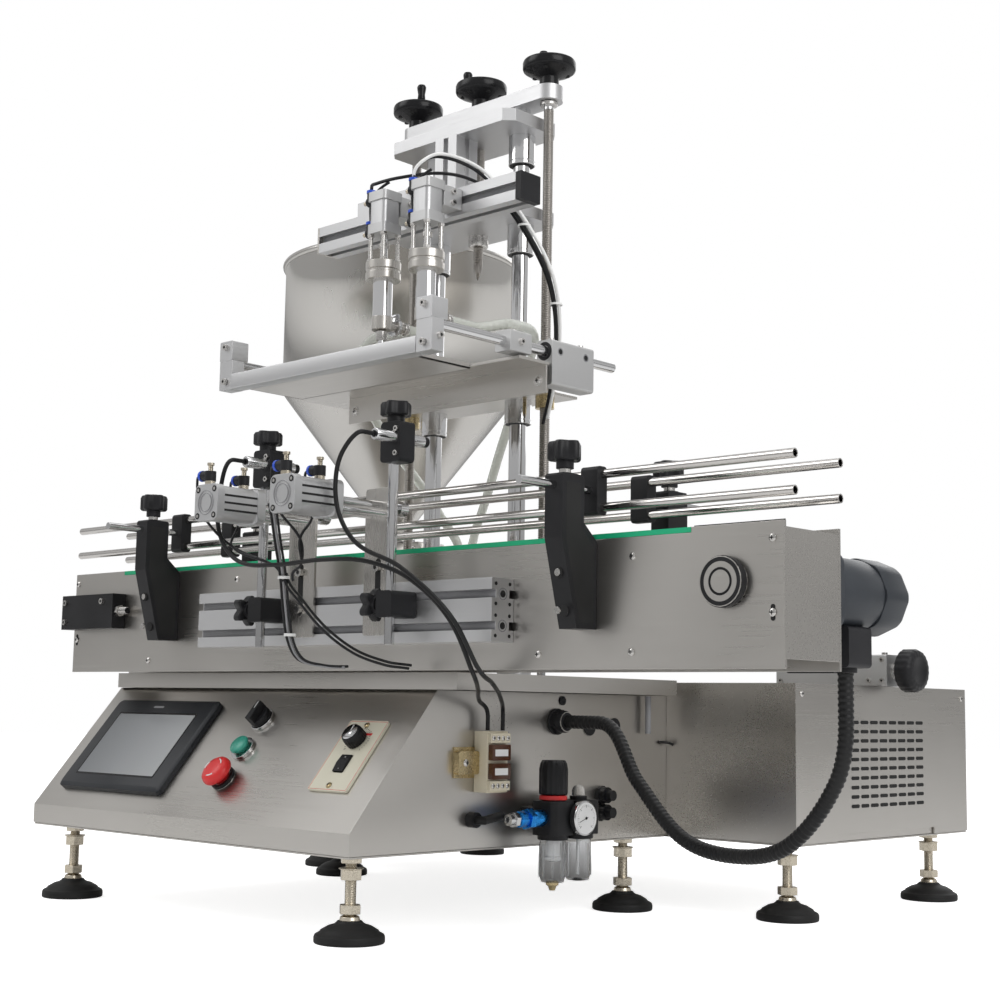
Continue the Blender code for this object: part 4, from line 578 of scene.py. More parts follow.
# ---------------------------------------------------------------- cabinets, feet and top plate
def cabinets():
    for node in ("front_cabinet", "top_plate"):
        paint(node, STEEL_X)
    paint("rear_cabinet", STEEL_Y)
    for node, title in (("front_base_with_feet", "front feet"), ("rear_base_with_feet", "rear feet")):
        high = local(node)[5]
        piece = Piece()
        if title == "front feet":
            spots = [(x, y) for x in (-0.464, 0.0375) for y in (-0.070, 0.357)]
            plate = (SIDE[0] + 0.001, 0.0725, SIDE[2] + 0.001, SIDE[3] - 0.001)
        else:
            rear = local("rear_cabinet")
            across, along_y = (rear[0] + 0.036, rear[1] - 0.036), (rear[2] + 0.036, rear[3] - 0.036)
            spots = [(x, y) for x in across for y in along_y]
            plate = (rear[0] + 0.001, rear[1] - 0.001, rear[2] + 0.001, rear[3] - 0.001)
        piece.box(*plate, high - 0.002, high, STEEL_X)
        for x, y in spots:
            pad = (
                (0.0345, 0.0), (0.0355, 0.0012), (0.0355, 0.006), (0.0345, 0.0085), (0.030, 0.0108),
                (0.029, 0.0125), (0.022, 0.0165), (0.016, 0.0182), (0.0135, 0.0200), (0.0125, 0.0215),
                (0.0, 0.0218),
            )
            piece.lathe("Z", (x, y), pad, RUBBER, 64)
            piece.lathe(
                "Z", (x, y), ((0.0095, 0.020), (0.0105, 0.022), (0.0095, 0.0255), (0.0065, 0.027)), NICKEL
            )
            piece.thread("Z", (x, y), 0.006, 0.026, high - 0.001, 0.0016, NICKEL)
            for base, top in ((0.028, 0.037), (0.061, 0.0715), (high - 0.0095, high - 0.0022)):
                piece.hexagon("Z", (x, y), 0.0115, base, top, NICKEL, 0.4)
            piece.rod("Z", (x, y), 0.0125, 0.0715, 0.0728, NICKEL)
        piece.done(title, "machine", [node], "steel", 0.0005)

    # Vent slots as flat patches of painted shade, side ports and a lip seam, each lying on the sheet.
    piece = Piece()
    rear = local("rear_cabinet")
    face = rear[1]
    piece.box(
        face - 0.0046, face - 0.0026, rear[2] + 0.020, rear[3] - 0.020, rear[4], rear[4] + 0.012, STEEL_Y
    )
    for row in range(10):
        z = 0.126 + row * 0.0108
        for column in range(8):
            y = 0.518 + column * 0.0215
            slot = rounded(y - 0.0085, y + 0.0085, z - 0.0021, z + 0.0021, 0.002, 4)
            # Each slot is a thin patch of painted shade, not an opening.
            piece.prism("X", slot, face + 0.0001, face + 0.0004, PAINTED_HOLE_SHADE)
    for y, z in ((rear[2] + 0.012, rear[5] - 0.012), (rear[3] - 0.012, rear[5] - 0.012)):
        piece.pan_screw("X", (y, z), 0.0035, face, 1)
    side = CONSOLE_SIDE
    for y, z, size in ((0.204, 0.242, 0.004), (0.251, 0.213, 0.0085), (0.295, 0.214, 0.0085)):
        piece.lathe(
            "X", (y, z), ((size + 0.001, 0), (size + 0.001, 0.0018), (size * 0.7, 0.0024), (0, 0.001)),
            BLACK, 32, base=side,
        )
    for y, z in ((0.271, 0.137), (0.271, 0.118)):
        piece.rod("X", (y, z), 0.009, side, side + 0.012, BLACK_GLOSS)
        piece.hexagon("X", (y, z), 0.0105, side + 0.001, side + 0.005, BLACK)
        piece.rod("X", (y, z), 0.006, side + 0.012, side + 0.020, BLACK)
    piece.rod("Z", (side + 0.008, 0.348), 0.0035, 0.206, 0.2495, GREY)
    # The conduit's gland: flange, hexagon and dome.
    gy, gz = 0.194, 0.219
    piece.rod("X", (gy, gz), 0.0145, side, side + 0.003, BLACK)
    piece.hexagon("X", (gy, gz), 0.0135, side + 0.003, side + 0.009, BLACK)
    piece.lathe("X", (gy, gz), ((0.0122, 0.009), (0.0122, 0.014), (0.0098, 0.0172)), BLACK , base=side)
    # The elbow under the relays with its small hose.
    piece.rod("X", (0.061, 0.117), 0.008, side, side + 0.010, BLACK)
    elbow = [
        (side + 0.008, 0.061, 0.117), (side + 0.014, 0.061, 0.117), (side + 0.018, 0.064, 0.117),
        (side + 0.019, 0.075, 0.119), (side + 0.020, 0.088, 0.1215),
    ]
    piece.tube(elbow, 0.0045, CABLE)
    loop = (
        (side + 0.0005, 0.379, 0.196), (side + 0.010, 0.396, 0.192), (side + 0.014, 0.412, 0.178),
        (side + 0.016, 0.421, 0.154), (side + 0.014, 0.424, 0.132), (side + 0.010, 0.414, 0.112),
        (side + 0.0005, 0.399, 0.100),
    )
    piece.tube(route(loop, (1, 0.4, 0), (-1, -0.4, 0), 0.004, 0.003), 0.0016, CABLE, 12)
    piece.done("sheet details", "machine", (), "black", 0.0002)


# ---------------------------------------------------------------- operator panel
slope_low = Vector((0, SIDE[2], 0.1092))
slope_high = Vector((0, 0.0097, 0.2503))
slope = (slope_high - slope_low).normalized()
outwards = Vector((0, -slope.z, slope.y))
PANEL = Matrix(
    (
        (1, 0, 0, 0), (0, slope.y, outwards.y, slope_low.y), (0, slope.z, outwards.z, slope_low.z),
        (0, 0, 0, 1),
    )
)


def on_panel():
    piece = Piece()
    piece.matrix = PANEL
    return piece


E_STOP_UP, START_UP, SELECTOR_UP = 0.0539, 0.0944, 0.1356
DIAL_UP, ROCKER_UP = 0.1113, 0.081


def panel():
    left, width, low, height = -0.4666, 0.204, 0.0252, 0.132
    piece = on_panel()
    rim = rounded(left, left + width, low, low + height, 0.006)
    inner = rounded(left + 0.004, left + width - 0.004, low + 0.004, low + height - 0.004, 0.004)
    rings = [
        [(a, b, 0.0003) for a, b in rim], [(a, b, 0.0062) for a, b in rim],
        [(a, b, 0.0088) for a, b in inner],
    ]
    piece.loft(rings, BEZEL)
    window = rounded(left + 0.022, left + width - 0.024, low + 0.017, low + height - 0.021, 0.002)
    piece.prism("Z", window, 0.0088, 0.00895, BLACK_GLOSS)
    glass = rounded(left + 0.0245, left + width - 0.0265, low + 0.0195, low + height - 0.0235, 0.001)
    piece.prism("Z", glass, 0.0089, 0.00898, SCREEN)
    mark = rounded(left + 0.084, left + 0.104, low + height - 0.0135, low + height - 0.0105, 0.0012)
    piece.prism("Z", mark, 0.0088, 0.00892, GREY)
    piece.done("touch screen", "machine", ["touch_screen"], "black", 0.0004)

    x = -0.172
    bezels = on_panel()
    for up in (E_STOP_UP, START_UP, SELECTOR_UP):
        bezels.pipe("Z", (x, up), 0.0148, 0.0105, 0.0003, 0.0042, CHROME if up > 0.06 else BLACK)
    bezels.done("button rings", "machine", (), "steel", 0.0006)

    piece = on_panel()
    cap = (
        (0.009, 0.003), (0.009, 0.010), (0.0175, 0.0112), (0.018, 0.0128), (0.018, 0.0150),
        (0.0168, 0.0182), (0.0135, 0.0208), (0.008, 0.0221), (0, 0.0224),
    )
    piece.lathe("Z", (x, E_STOP_UP), cap, RED, 64)
    for i in range(3):
        angle = tau * i / 3 + 0.5
        arc = [(0.0115 * cos(angle + t * 0.25), 0.0115 * sin(angle + t * 0.25)) for t in range(4)]
        points = [(x + a, E_STOP_UP + b, 0.0218 - 0.0002) for a, b in arc]
        piece.tube(points, 0.0007, WHITE, 6)
    piece.done("e-stop head", "e_stop_button", ["e_stop_button"], "red", 0)

    piece = on_panel()
    piece.lathe(
        "Z", (x, START_UP),
        (
            (0.009, 0.003), (0.009, 0.0072), (0.0112, 0.0078), (0.0115, 0.0085), (0.0115, 0.0105),
            (0.0105, 0.0118), (0, 0.0122),
        ),
        TEAL, 56,
    )
    piece.done("start head", "start_button", ["start_button"], "green", 0)

    piece = on_panel()
    piece.lathe(
        "Z", (x, SELECTOR_UP),
        ((0.009, 0.002), (0.0125, 0.0048), (0.013, 0.006), (0.013, 0.0095), (0.0122, 0.0112), (0, 0.0114)),
        BLACK, 56,
    )
    grip = [
        (x - 0.0045, SELECTOR_UP - 0.0125), (x + 0.0045, SELECTOR_UP - 0.0125),
        (x + 0.0036, SELECTOR_UP + 0.0125), (x - 0.0036, SELECTOR_UP + 0.0125),
    ]
    piece.prism("Z", grip, 0.0105, 0.0205, BLACK)
    piece.box(x - 0.0006, x + 0.0006, SELECTOR_UP + 0.002, SELECTOR_UP + 0.0118, 0.0203, 0.0208, WHITE)
    piece.done("selector", "selector_knob", ["selector_knob"], "black", 0.0009)

    left, low = -0.0245, 0.0467
    middle = left + 0.030
    paint("speed_panel", PLATE)
    piece = on_panel()
    for y in (low + 0.0065, low + 0.0845):
        piece.pan_screw("Z", (middle, y), 0.0034, 0.003, 1, BRASS)
    for i in range(25):
        angle = radians(-225 + 270 * i / 24)
        a, b = cos(angle), -sin(angle)
        size = 0.0175 if i % 4 == 0 else 0.0165
        start = (middle + 0.0148 * a, DIAL_UP + 0.0148 * b, 0.0031)
        end = (middle + size * a, DIAL_UP + size * b, 0.0031)
        piece.tube([start, end], 0.00022, BLACK, 4)
    for y in (low + 0.0015, low + 0.0895):
        piece.box(left + 0.0015, left + 0.0585, y - 0.0002, y + 0.0002, 0.003, 0.00312, RED)
    for edge in (left + 0.0015, left + 0.0585):
        piece.box(edge - 0.0002, edge + 0.0002, low + 0.0015, low + 0.0895, 0.003, 0.00312, RED)
    piece.box(middle - 0.016, middle + 0.016, low + 0.0715, low + 0.0745, 0.003, 0.00312, RED)
    piece.done("speed panel marks", "machine", (), "cream", 0)

    piece = on_panel()
    shape = ((1.0, 0.0042), (1.0, 0.012), (0.9, 0.0168), (0.86, 0.0172))
    piece.fluted("Z", (middle, DIAL_UP), 0.012, shape, BLACK, 4, 0.035)
    piece.rod("Z", (middle, DIAL_UP), 0.0095, 0.0171, 0.0174, CHROME)
    piece.box(middle - 0.0005, middle + 0.0005, DIAL_UP + 0.002, DIAL_UP + 0.0094, 0.0171, 0.01748, WHITE)
    piece.done("speed knob", "speed_knob", ["speed_knob"], "black", 0)
    paint("power_rocker", BLACK_GLOSS)
    piece = on_panel()
    piece.pipe("Z", (middle, ROCKER_UP + 0.0058), 0.0018, 0.0012, 0.0046, 0.00495, WHITE, 24)
    piece.box(
        middle - 0.0003, middle + 0.0003, ROCKER_UP - 0.0078, ROCKER_UP - 0.0042, 0.0046, 0.00495, WHITE
    )
    piece.done("rocker marks", "power_rocker", (), "black", 0)


# ---------------------------------------------------------------- conveyor
def conveyor():
    paint("conveyor_front_plate", STEEL_X)
    paint("conveyor_back_plate", STEEL_X)
    paint("conveyor_bed", GREEN)
    paint("take_up_block", BLACK)
    paint("idler_roller", BOLT)
    paint("drive_roller", BOLT)
    face = -0.0432
    piece = Piece()
    for x, z in (
        (-0.367, 0.282), (-0.526, 0.379), (0.372, 0.369), (0.371, 0.284), (0.520, 0.377), (-0.20, 0.372),
        (0.26, 0.283),
    ):
        piece.pan_screw("Y", (x, z), 0.0036, face, -1)
    # Slotted holes in the front plate are thin patches of painted shade, each with a pan screw.
    for x, z in ((-0.524, 0.309), (0.520, 0.315)):
        hole = rounded(x - 0.0022, x + 0.0022, z - 0.007, z + 0.007, 0.0021)
        piece.prism("Y", hole, face - 0.0003, face - 0.0001, PAINTED_HOLE_SHADE)
        piece.pan_screw("Y", (x, z), 0.0036, face - 0.0003, -1)
    for x, z in (
        (-0.367, 0.282), (-0.526, 0.379), (0.372, 0.369), (0.371, 0.284), (0.520, 0.377), (0.520, 0.315)
    ):
        piece.pan_screw("Y", (x, z), 0.0036, -face, 1)
    # The drive end's bearing cover.
    cover = (
        (0.0215, -0.001), (0.0222, -0.0012), (0.0222, -0.0075), (0.0205, -0.0092), (0.0172, -0.0094),
        (0.0165, -0.0078),
    )
    piece.lathe("Y", (SHAFT_X, SHAFT_Z), cover, BLACK, 72, base=face)
    piece.pipe("Y", (SHAFT_X, SHAFT_Z), 0.0165, 0.0120, face - 0.0085, face - 0.0070, BOLT, 64)
    piece.pipe("Y", (SHAFT_X, SHAFT_Z), 0.0120, 0.0098, face - 0.0092, face - 0.0070, BLACK_GLOSS, 64)
    piece.rod("Y", (SHAFT_X, SHAFT_Z), 0.0098, face - 0.0088, face - 0.0070, CHROME)
    # The take-up block's screws and its adjusting screw.
    block = local("take_up_block")
    for x, z in ((-0.523, SHAFT_Z + 0.012), (-0.523, SHAFT_Z - 0.012), (-0.442, SHAFT_Z + 0.012)):
        piece.socket_screw("Y", (x, z), 0.0036, block[2], -1)
    piece.thread("X", (face - 0.010, SHAFT_Z), 0.0042, -0.4205, -0.4002, 0.0014, BOLT)
    piece.hexagon("X", (face - 0.010, SHAFT_Z), 0.0072, -0.4195, -0.4145, BOLT)
    # A black strip under the chain's right end.
    piece.box(0.437, 0.530, -0.0400, -0.0390, 0.3885, 0.3925, BLACK)
    piece.done("conveyor trim", "machine", (), "steel", 0.0003)

    # Hinged slats on the chain's path.
    chain = local("slat_chain")
    radius = (chain[5] - chain[4]) / 2 - 0.002
    half = chain[3]
    run = 2 * SHAFT_X
    total = 2 * run + tau * radius
    count = round(total / 0.0381)
    pitch = total / count
    piece = Piece()
    for i in range(count):
        for start, end in ((0.0006, 0.5), (0.5, 0.97)):
            marks = []
            for t in (start, end):
                s = (i + t) * pitch
                if s < run:
                    spot, out = Vector((-SHAFT_X + s, 0, SHAFT_Z + radius)), Vector((0, 0, 1))
                elif s < run + pi * radius:
                    angle = pi / 2 - (s - run) / radius
                    out = Vector((cos(angle), 0, sin(angle)))
                    spot = Vector((SHAFT_X, 0, SHAFT_Z)) + radius * out
                elif s < 2 * run + pi * radius:
                    spot = Vector((SHAFT_X - (s - run - pi * radius), 0, SHAFT_Z - radius))
                    out = Vector((0, 0, -1))
                else:
                    angle = -pi / 2 - (s - 2 * run - pi * radius) / radius
                    out = Vector((cos(angle), 0, sin(angle)))
                    spot = Vector((-SHAFT_X, 0, SHAFT_Z)) + radius * out
                marks.append((spot, out))
            rings = []
            for y in (-half, half):
                ring = []
                for (spot, out), sign in ((marks[0], 1), (marks[1], 1), (marks[1], -1), (marks[0], -1)):
                    ring.append(spot + out * (0.0018 * sign) + Vector((0, y, 0)))
                rings.append(ring)
            piece.loft(rings, BOLT)
    piece.done("slats", "machine", ["slat_chain"], "steel", 0.0003)


def motor():
    """The gear motor: square gearhead, smooth body, fan cover with flats and the terminal box."""
    centre = (SHAFT_X, SHAFT_Z)
    front = local("drive_motor")[2]
    piece = Piece()
    flange = rounded(SHAFT_X - 0.0375, SHAFT_X + 0.0375, SHAFT_Z - 0.0375, SHAFT_Z + 0.0375, 0.008, 8)
    piece.prism("Y", flange, front, front + 0.008, SLATE)
    inner = rounded(SHAFT_X - 0.036, SHAFT_X + 0.036, SHAFT_Z - 0.036, SHAFT_Z + 0.036, 0.014, 8)
    piece.prism("Y", inner, front + 0.008, front + 0.042, SLATE)
    back = front + 0.122
    body = (
        (0.0325, front + 0.0415), (0.0342, front + 0.0450), (0.0342, back - 0.010), (0.0322, back - 0.0015)
    )
    piece.lathe("Y", centre, body, SLATE, 96)
    rings = []
    for scale, at in (
        (0.985, back - 0.006), (1.0, back - 0.004), (1.0, back + 0.0300), (0.965, back + 0.0345),
        (0.90, back + 0.0358),
    ):
        ring = []
        for i in range(96):
            angle = tau * i / 96
            reach = scale * min(0.0360, 0.0346 / cos(angle % (pi / 4) - pi / 8))
            ring.append((SHAFT_X + reach * cos(angle), at, SHAFT_Z + reach * sin(angle)))
        rings.append(ring)
    piece.loft(rings, SLATE)
    # The fan cover's grille rings and the small side hole are painted shade.
    for ring in (0.012, 0.018, 0.024):
        piece.pipe("Y", centre, ring + 0.001, ring - 0.001, back + 0.0357, back + 0.03595, PAINTED_HOLE_SHADE, 64)
    piece.rod("X", (back + 0.006, SHAFT_Z), 0.0016, SHAFT_X + 0.0340, SHAFT_X + 0.0347, PAINTED_HOLE_SHADE, 20)
    terminal = rounded(SHAFT_X - 0.014, SHAFT_X + 0.026, 0.2745, SHAFT_Z - 0.0300, 0.004, 4)
    piece.prism("Y", terminal, 0.108, 0.147, MOTOR_BLACK)
    piece.rod("Z", (SHAFT_X + 0.010, 0.128), 0.0105, 0.2702, 0.2750, BLACK)
    for x in (-0.030, 0.030):
        for z in (-0.030, 0.030):
            piece.socket_screw("Y", (SHAFT_X + x, SHAFT_Z + z), 0.0035, front + 0.008, 1)
    piece.done("gear motor", "machine", ["drive_motor"], "slate", 0.0008)


# ---------------------------------------------------------------- guide rails
def star_knob(piece, centre, low, axis="Z", radius=0.0162, height=0.021, look=BLACK, out=1, lobe=0.12):
    """A five-lobed clamp knob on a hub, with a bright stud end."""
    piece.rod(axis, centre, radius * 0.5, low, low + out * height * 0.45, look)
    rings = []
    for scale, at in ((0.88, 0.28), (1.0, 0.36), (1.0, 0.88), (0.90, 1.0)):
        ring = []
        for i in range(80):
            angle = tau * i / 80
            reach = radius * scale * (1 - lobe + lobe * cos(5 * angle))
            ring.append(
                along(
                    axis, centre[0] + reach * cos(angle), centre[1] + reach * sin(angle),
                    low + out * height * at,
                )
            )
        rings.append(ring)
    piece.loft(rings, look)
    piece.rod(axis, centre, radius * 0.22, low + out * height * 0.98, low + out * height * 1.06, BOLT, 20)
    return piece


def guide_rails():
    for side, where in ((-1, "front"), (1, "back")):
        y = side * 0.035
        piece = Piece()
        for z in (0.4165, 0.4475):
            piece.pipe("X", (y, z), 0.00425, 0.0032, -0.537, 0.537, RAIL_STEEL, 32)
        for x in BRACKETS:
            piece.rod("Y", (x, RAIL_MIDDLE), 0.004, side * 0.0355, side * 0.138, CHROME)
            inner, outer = sorted((side * 0.0295, side * 0.0435))
            outline = rounded(0.4095, 0.4545, inner, outer, 0.004)
            piece.prism("X", [(b, a) for a, b in outline], x - 0.010, x + 0.010, BLACK)
            piece.socket_screw("Y", (x, RAIL_MIDDLE), 0.0034, outer if side > 0 else inner, side)
        piece.done(f"{where} rails", f"rail_set_{where}", [f"rail_set_{where}"], "steel", 0.0003)
        for x, hand in zip(BRACKETS, ("left", "right")):
            node = f"guide_bracket_{where}_{hand}"
            box = local(node)
            foot, low, high = 0.0435, box[4], box[5]
            piece = Piece()
            outline = [
                (foot, low + 0.0005), (foot + 0.027, low + 0.0003), (0.0915, low + 0.0795),
                (0.092, low + 0.082), (0.092, high - 0.002), (0.090, high), (0.064, high),
                (0.062, high - 0.002), (0.062, low + 0.096), (foot, low + 0.080),
            ]
            piece.prism("X", [(side * a, b) for a, b in outline], x - 0.0105, x + 0.0105, BLACK)
            recess = [
                (foot + 0.005, low + 0.006), (foot + 0.0235, low + 0.006), (0.0865, low + 0.082),
                (0.0865, high - 0.008), (0.0675, high - 0.008), (0.0675, low + 0.092),
                (foot + 0.005, low + 0.074),
            ]
            for offset in (-0.01055, 0.01055):
                faces = sorted((x + offset, x + offset * 0.99))
                piece.prism("X", [(side * a, b) for a, b in recess], *faces, RUBBER)
            # The counterbores under the bracket screws are painted shade.
            for z in (low + 0.016, low + 0.050):
                recessed = side * (foot + 0.027 + 0.0215 * (z - low) / 0.080)
                piece.rod(
                    "Y", (x, z), 0.0052, *sorted((recessed - side * 0.004, recessed + side * 0.0012)), PAINTED_HOLE_SHADE,
                    28,
                )
            for z in (low + 0.016, low + 0.050):
                piece.rod("Y", (x, z), 0.0034, *sorted((recessed, recessed + side * 0.0020)), BOLT, 24)
            piece.lathe(
                "Z", (x, side * CLAMP_OUT), ((0.009, -0.001), (0.009, 0.0008), (0.006, 0.001)), BLACK,
                base=high,
            )
            piece.done(node.replace("_", " "), "machine", [node], "black", 0.0009)
            knob = f"clamp_knob_{where}_{hand}"
            top = local(knob)[5]
            piece = Piece()
            piece.rod("Z", (x, side * CLAMP_OUT), 0.0055, high + 0.001, high + 0.006, BOLT)
            star_knob(piece, (x, side * CLAMP_OUT), high + 0.005, height=top - high - 0.007)
            piece.done(knob.replace("_", " "), knob, [knob], "black", 0.0006)


# ---------------------------------------------------------------- bottle stops and sensors
def hand_screw(piece, y, z, x, out):
    """A lobed hand screw whose axis lies along X."""
    piece.rod("X", (y, z), 0.0065, *sorted((x, x + out * 0.010)), BLACK)
    star_knob(piece, (y, z), x + out * 0.004, "X", 0.0168, 0.015, BLACK, out, 0.2)


def stops():
    paint("stop_rail", ALUMINIUM)
    low = local("stop_rail")
    piece = Piece()
    for z in (low[4] + 0.015, low[4] + 0.045):
        for end, out in ((low[1], 1), (low[0], -1)):
            y = (low[2] + low[3]) / 2
            # The bores in the profile ends are painted shade.
            piece.rod("X", (y, z), 0.0034, end, end + out * 0.0003, PAINTED_HOLE_SHADE, 24)
            piece.pipe("X", (y, z), 0.0058, 0.0050, end, end + out * 0.0003, GREY, 32)
            for a in (-1, 1):
                for b in (-1, 1):
                    piece.rod(
                        "X", (y + a * 0.0095, z + b * 0.0095), 0.0018, end, end + out * 0.0003, PAINTED_HOLE_SHADE, 16
                    )
        # A grey strip at the bottom of each front slot is painted shade.
        piece.box(
            low[0] + 0.001, low[1] - 0.001, low[2] + 0.0058, low[2] + 0.0060, z - 0.0038, z + 0.0038, GREY
        )
    piece.done("rail ends", "machine", (), "alu", 0)
    for index in (1, 2):
        node = f"stop_cylinder_{index}"
        box = local(node)
        x = (box[0] + box[1]) / 2
        z = RAIL_MIDDLE
        half = 0.0185
        front = box[2]
        piece = Piece()
        plate = rounded(box[0], box[1], box[4], box[5], 0.003)
        piece.prism("Y", plate, box[3] - 0.003, box[3], STEEL_Z)
        # The slot in the mounting plate is a patch of painted shade.
        opening = rounded(x - 0.004, x + 0.004, box[4] + 0.022, box[4] + 0.077, 0.0038)
        piece.prism("Y", opening, box[3] - 0.0033, box[3] - 0.0030, PAINTED_HOLE_SHADE)
        for at in (box[4] + 0.030, box[4] + 0.068):
            piece.socket_screw("Y", (x, at), 0.005, box[3] - 0.0033, -1)
        body = rounded(x - half, x + half, z - half, z + half, 0.007, 6)
        middle = rounded(x - half * 0.94, x + half * 0.94, z - half * 0.94, z + half * 0.94, 0.009, 6)
        piece.prism("Y", body, front + 0.0008, front + 0.010, ALUMINIUM)
        piece.prism("Y", middle, front + 0.010, front + 0.052, ALUMINIUM)
        piece.prism("Y", body, front + 0.052, front + 0.062, ALUMINIUM)
        piece.pipe("Y", (x, z), 0.0125, 0.0118, front + 0.0001, front + 0.0009, GREY)
        piece.pipe("Y", (x, z), 0.0095, 0.0088, front + 0.0001, front + 0.0009, GREY)
        # The tie-rod counterbores are painted shade round the nuts.
        for a in (-1, 1):
            for b in (-1, 1):
                piece.rod(
                    "Y", (x + a * 0.0132, z + b * 0.0132), 0.0032, front + 0.0004, front + 0.0009, PAINTED_HOLE_SHADE, 24
                )
                piece.hexagon(
                    "Y", (x + a * 0.0132, z + b * 0.0132), 0.0018, front + 0.0002, front + 0.0006, BOLT
                )
        for a in (-0.0125, 0.0125):
            piece.rod("Y", (x + a, z - 0.009), 0.003, front + 0.061, box[3] - 0.002, CHROME)
        flat = half * 0.94
        # The sensor grooves along the body are dark strips of painted shade.
        for groove in (-0.0075, 0.0, 0.0075):
            piece.box(
                x + groove - 0.0011, x + groove + 0.0011, front + 0.0102, front + 0.0518, z + flat,
                z + flat + 0.0002, PAINTED_HOLE_SHADE,
            )
            for hand in (-1, 1):
                side_face = sorted((x + hand * flat, x + hand * (flat + 0.0002)))
                piece.box(
                    *side_face, front + 0.0102, front + 0.0518, z + groove - 0.0011, z + groove + 0.0011,
                    PAINTED_HOLE_SHADE,
                )
        # Elbow fittings with blue rings and a bright needle valve.
        for y in (front + 0.008, front + 0.050):
            top = z + half
            piece.rod("Z", (x - 0.004, y), 0.0052, top - 0.001, top + 0.004, NICKEL)
            piece.rod("Z", (x - 0.004, y), 0.0058, top + 0.004, top + 0.014, BLACK)
            piece.rod("X", (y, top + 0.010), 0.0050, x - 0.016, x - 0.004, BLACK)
            piece.rod("X", (y, top + 0.010), 0.0056, x - 0.0185, x - 0.0155, BLUE)
            piece.thread("Z", (x - 0.004, y), 0.0026, top + 0.014, top + 0.020, 0.001, NICKEL)
            piece.rod("Z", (x - 0.004, y), 0.0036, top + 0.020, top + 0.0225, NICKEL)
        piece.done(f"stop cylinder {index}", "machine", [node], "alu", 0.0005)
        paint(f"stop_rod_{index}", CHROME)
        post = local(f"sensor_post_{index}")
        px = (-0.084, 0.116)[index - 1]
        py = -0.099
        high = post[5] - 0.022
        piece = Piece()
        piece.rod("Z", (px, py), 0.005, post[4], high - 0.001, CHROME)
        piece.prism(
            "Y", rounded(px - 0.011, px + 0.011, 0.318, 0.344, 0.004), py - 0.009, py + 0.0250, BLACK
        )
        piece.prism(
            "Y", rounded(px - 0.009, px + 0.019, high - 0.040, high, 0.004), py - 0.010, py + 0.010, BLACK
        )
        for at in (high - 0.008, high - 0.032):
            piece.socket_screw("Y", (px + 0.014, at), 0.0028, py - 0.010, -1)
        barrel = (px + 0.010, high - 0.016)
        piece.rod("Y", barrel, 0.0034, py - 0.0362, py - 0.034, BLACK)
        piece.lathe(
            "Y", barrel, ((0.0054, -0.0355), (0.0060, -0.0345), (0.0060, 0.028)), CHROME, 48, base=py
        )
        piece.rod("Y", barrel, 0.0052, py + 0.028, py + 0.034, BLACK_GLOSS)
        piece.rod("Z", (px + 0.002, py), 0.0088, high - 0.001, high + 0.010, BLACK)
        star_knob(piece, (px + 0.002, py), high + 0.001, radius=0.0160, height=0.0195)
        hand_screw(piece, py, 0.331, px - 0.011, -1)
        piece.done(f"sensor post {index}", "machine", [f"sensor_post_{index}"], "black", 0.0006)


def stop_tubes():
    """Air tubes and sensor wires of the two stop cylinders, tied together beside the conveyor."""
    bundle = (
        (0.024, -0.175, 0.4270), (0.003, -0.150, 0.396), (-0.011, -0.130, 0.361), (-0.017, -0.120, 0.328),
        (-0.021, -0.110, 0.298), (-0.016, -0.100, 0.2785), (-0.002, -0.085, 0.2725),
        (0.025, -0.075, 0.2712),
    )
    branch = (
        (-0.010, -0.128, 0.363), (0.011, -0.125, 0.337), (0.043, -0.118, 0.307), (0.074, -0.105, 0.285),
        (0.096, -0.085, 0.2745), (0.105, -0.060, 0.2715),
    )
    piece = Piece()
    for shift, look in ((-0.0028, BLACK), (0.0, GREY), (0.0028, BLACK)):
        moved = [(x + shift, y + shift * 0.5, z + abs(shift) * 0.3) for x, y, z in bundle]
        piece.tube(route(moved, (-0.5, 0.6, -0.5), (1, 0.2, 0), 0.004, 0.003), 0.0014, look, 10)
    for shift, look in ((-0.0015, BLACK), (0.0017, CABLE)):
        moved = [(x, y + shift, z + shift) for x, y, z in branch]
        piece.tube(route(moved, (0.4, 0, -1), (0.3, 1, -0.1), 0.004, 0.003), 0.0014, look, 10)
    for x in (-0.047, 0.073):
        for y, z in ((-0.195, 0.4605), (-0.153, 0.4605)):
            left = x - 0.0185
            loop = (
                (left, y, z), (left - 0.010, y + 0.002, z - 0.002), (left - 0.019, y + 0.010, z - 0.016),
                (left - 0.021, y + 0.022, z - 0.040), (left - 0.016, -0.142 if x < 0 else -0.150, 0.395),
                (-0.020 if x < 0 else 0.022, -0.134, 0.372), (-0.012 if x < 0 else 0.004, -0.129, 0.356),
            )
            piece.tube(route(loop, (-1, 0, 0), (0.1, 0.2, -1), 0.004, 0.003), 0.0014, BLACK, 10)
    for x, y, z in ((-0.011, -0.129, 0.3600), (-0.0195, -0.1115, 0.303)):
        piece.pipe("Z", (x, y), 0.0062, 0.0050, z - 0.0015, z + 0.0015, WHITE, 24)
    piece.done("stop tubes", "machine", (), "cable", 0)


# ---------------------------------------------------------------- lift unit
def extrusion(piece, axis, left, right, low, high, start, end, look, slots, depth=0.006, wide=0.004):
    """A square aluminium profile with a T-slot in the middle of each face named in slots."""
    a, b = (left + right) / 2, (low + high) / 2
    outline = [(left, low)]
    if "low" in slots:
        outline += [(a - wide, low), (a - wide, low + depth), (a + wide, low + depth), (a + wide, low)]
    outline.append((right, low))
    if "right" in slots:
        outline += [
            (right, b - wide), (right - depth, b - wide), (right - depth, b + wide), (right, b + wide)
        ]
    outline.append((right, high))
    if "high" in slots:
        outline += [(a + wide, high), (a + wide, high - depth), (a - wide, high - depth), (a - wide, high)]
    outline.append((left, high))
    if "left" in slots:
        outline += [(left, b + wide), (left + depth, b + wide), (left + depth, b - wide), (left, b - wide)]
    piece.prism(axis, outline, start, end, look)


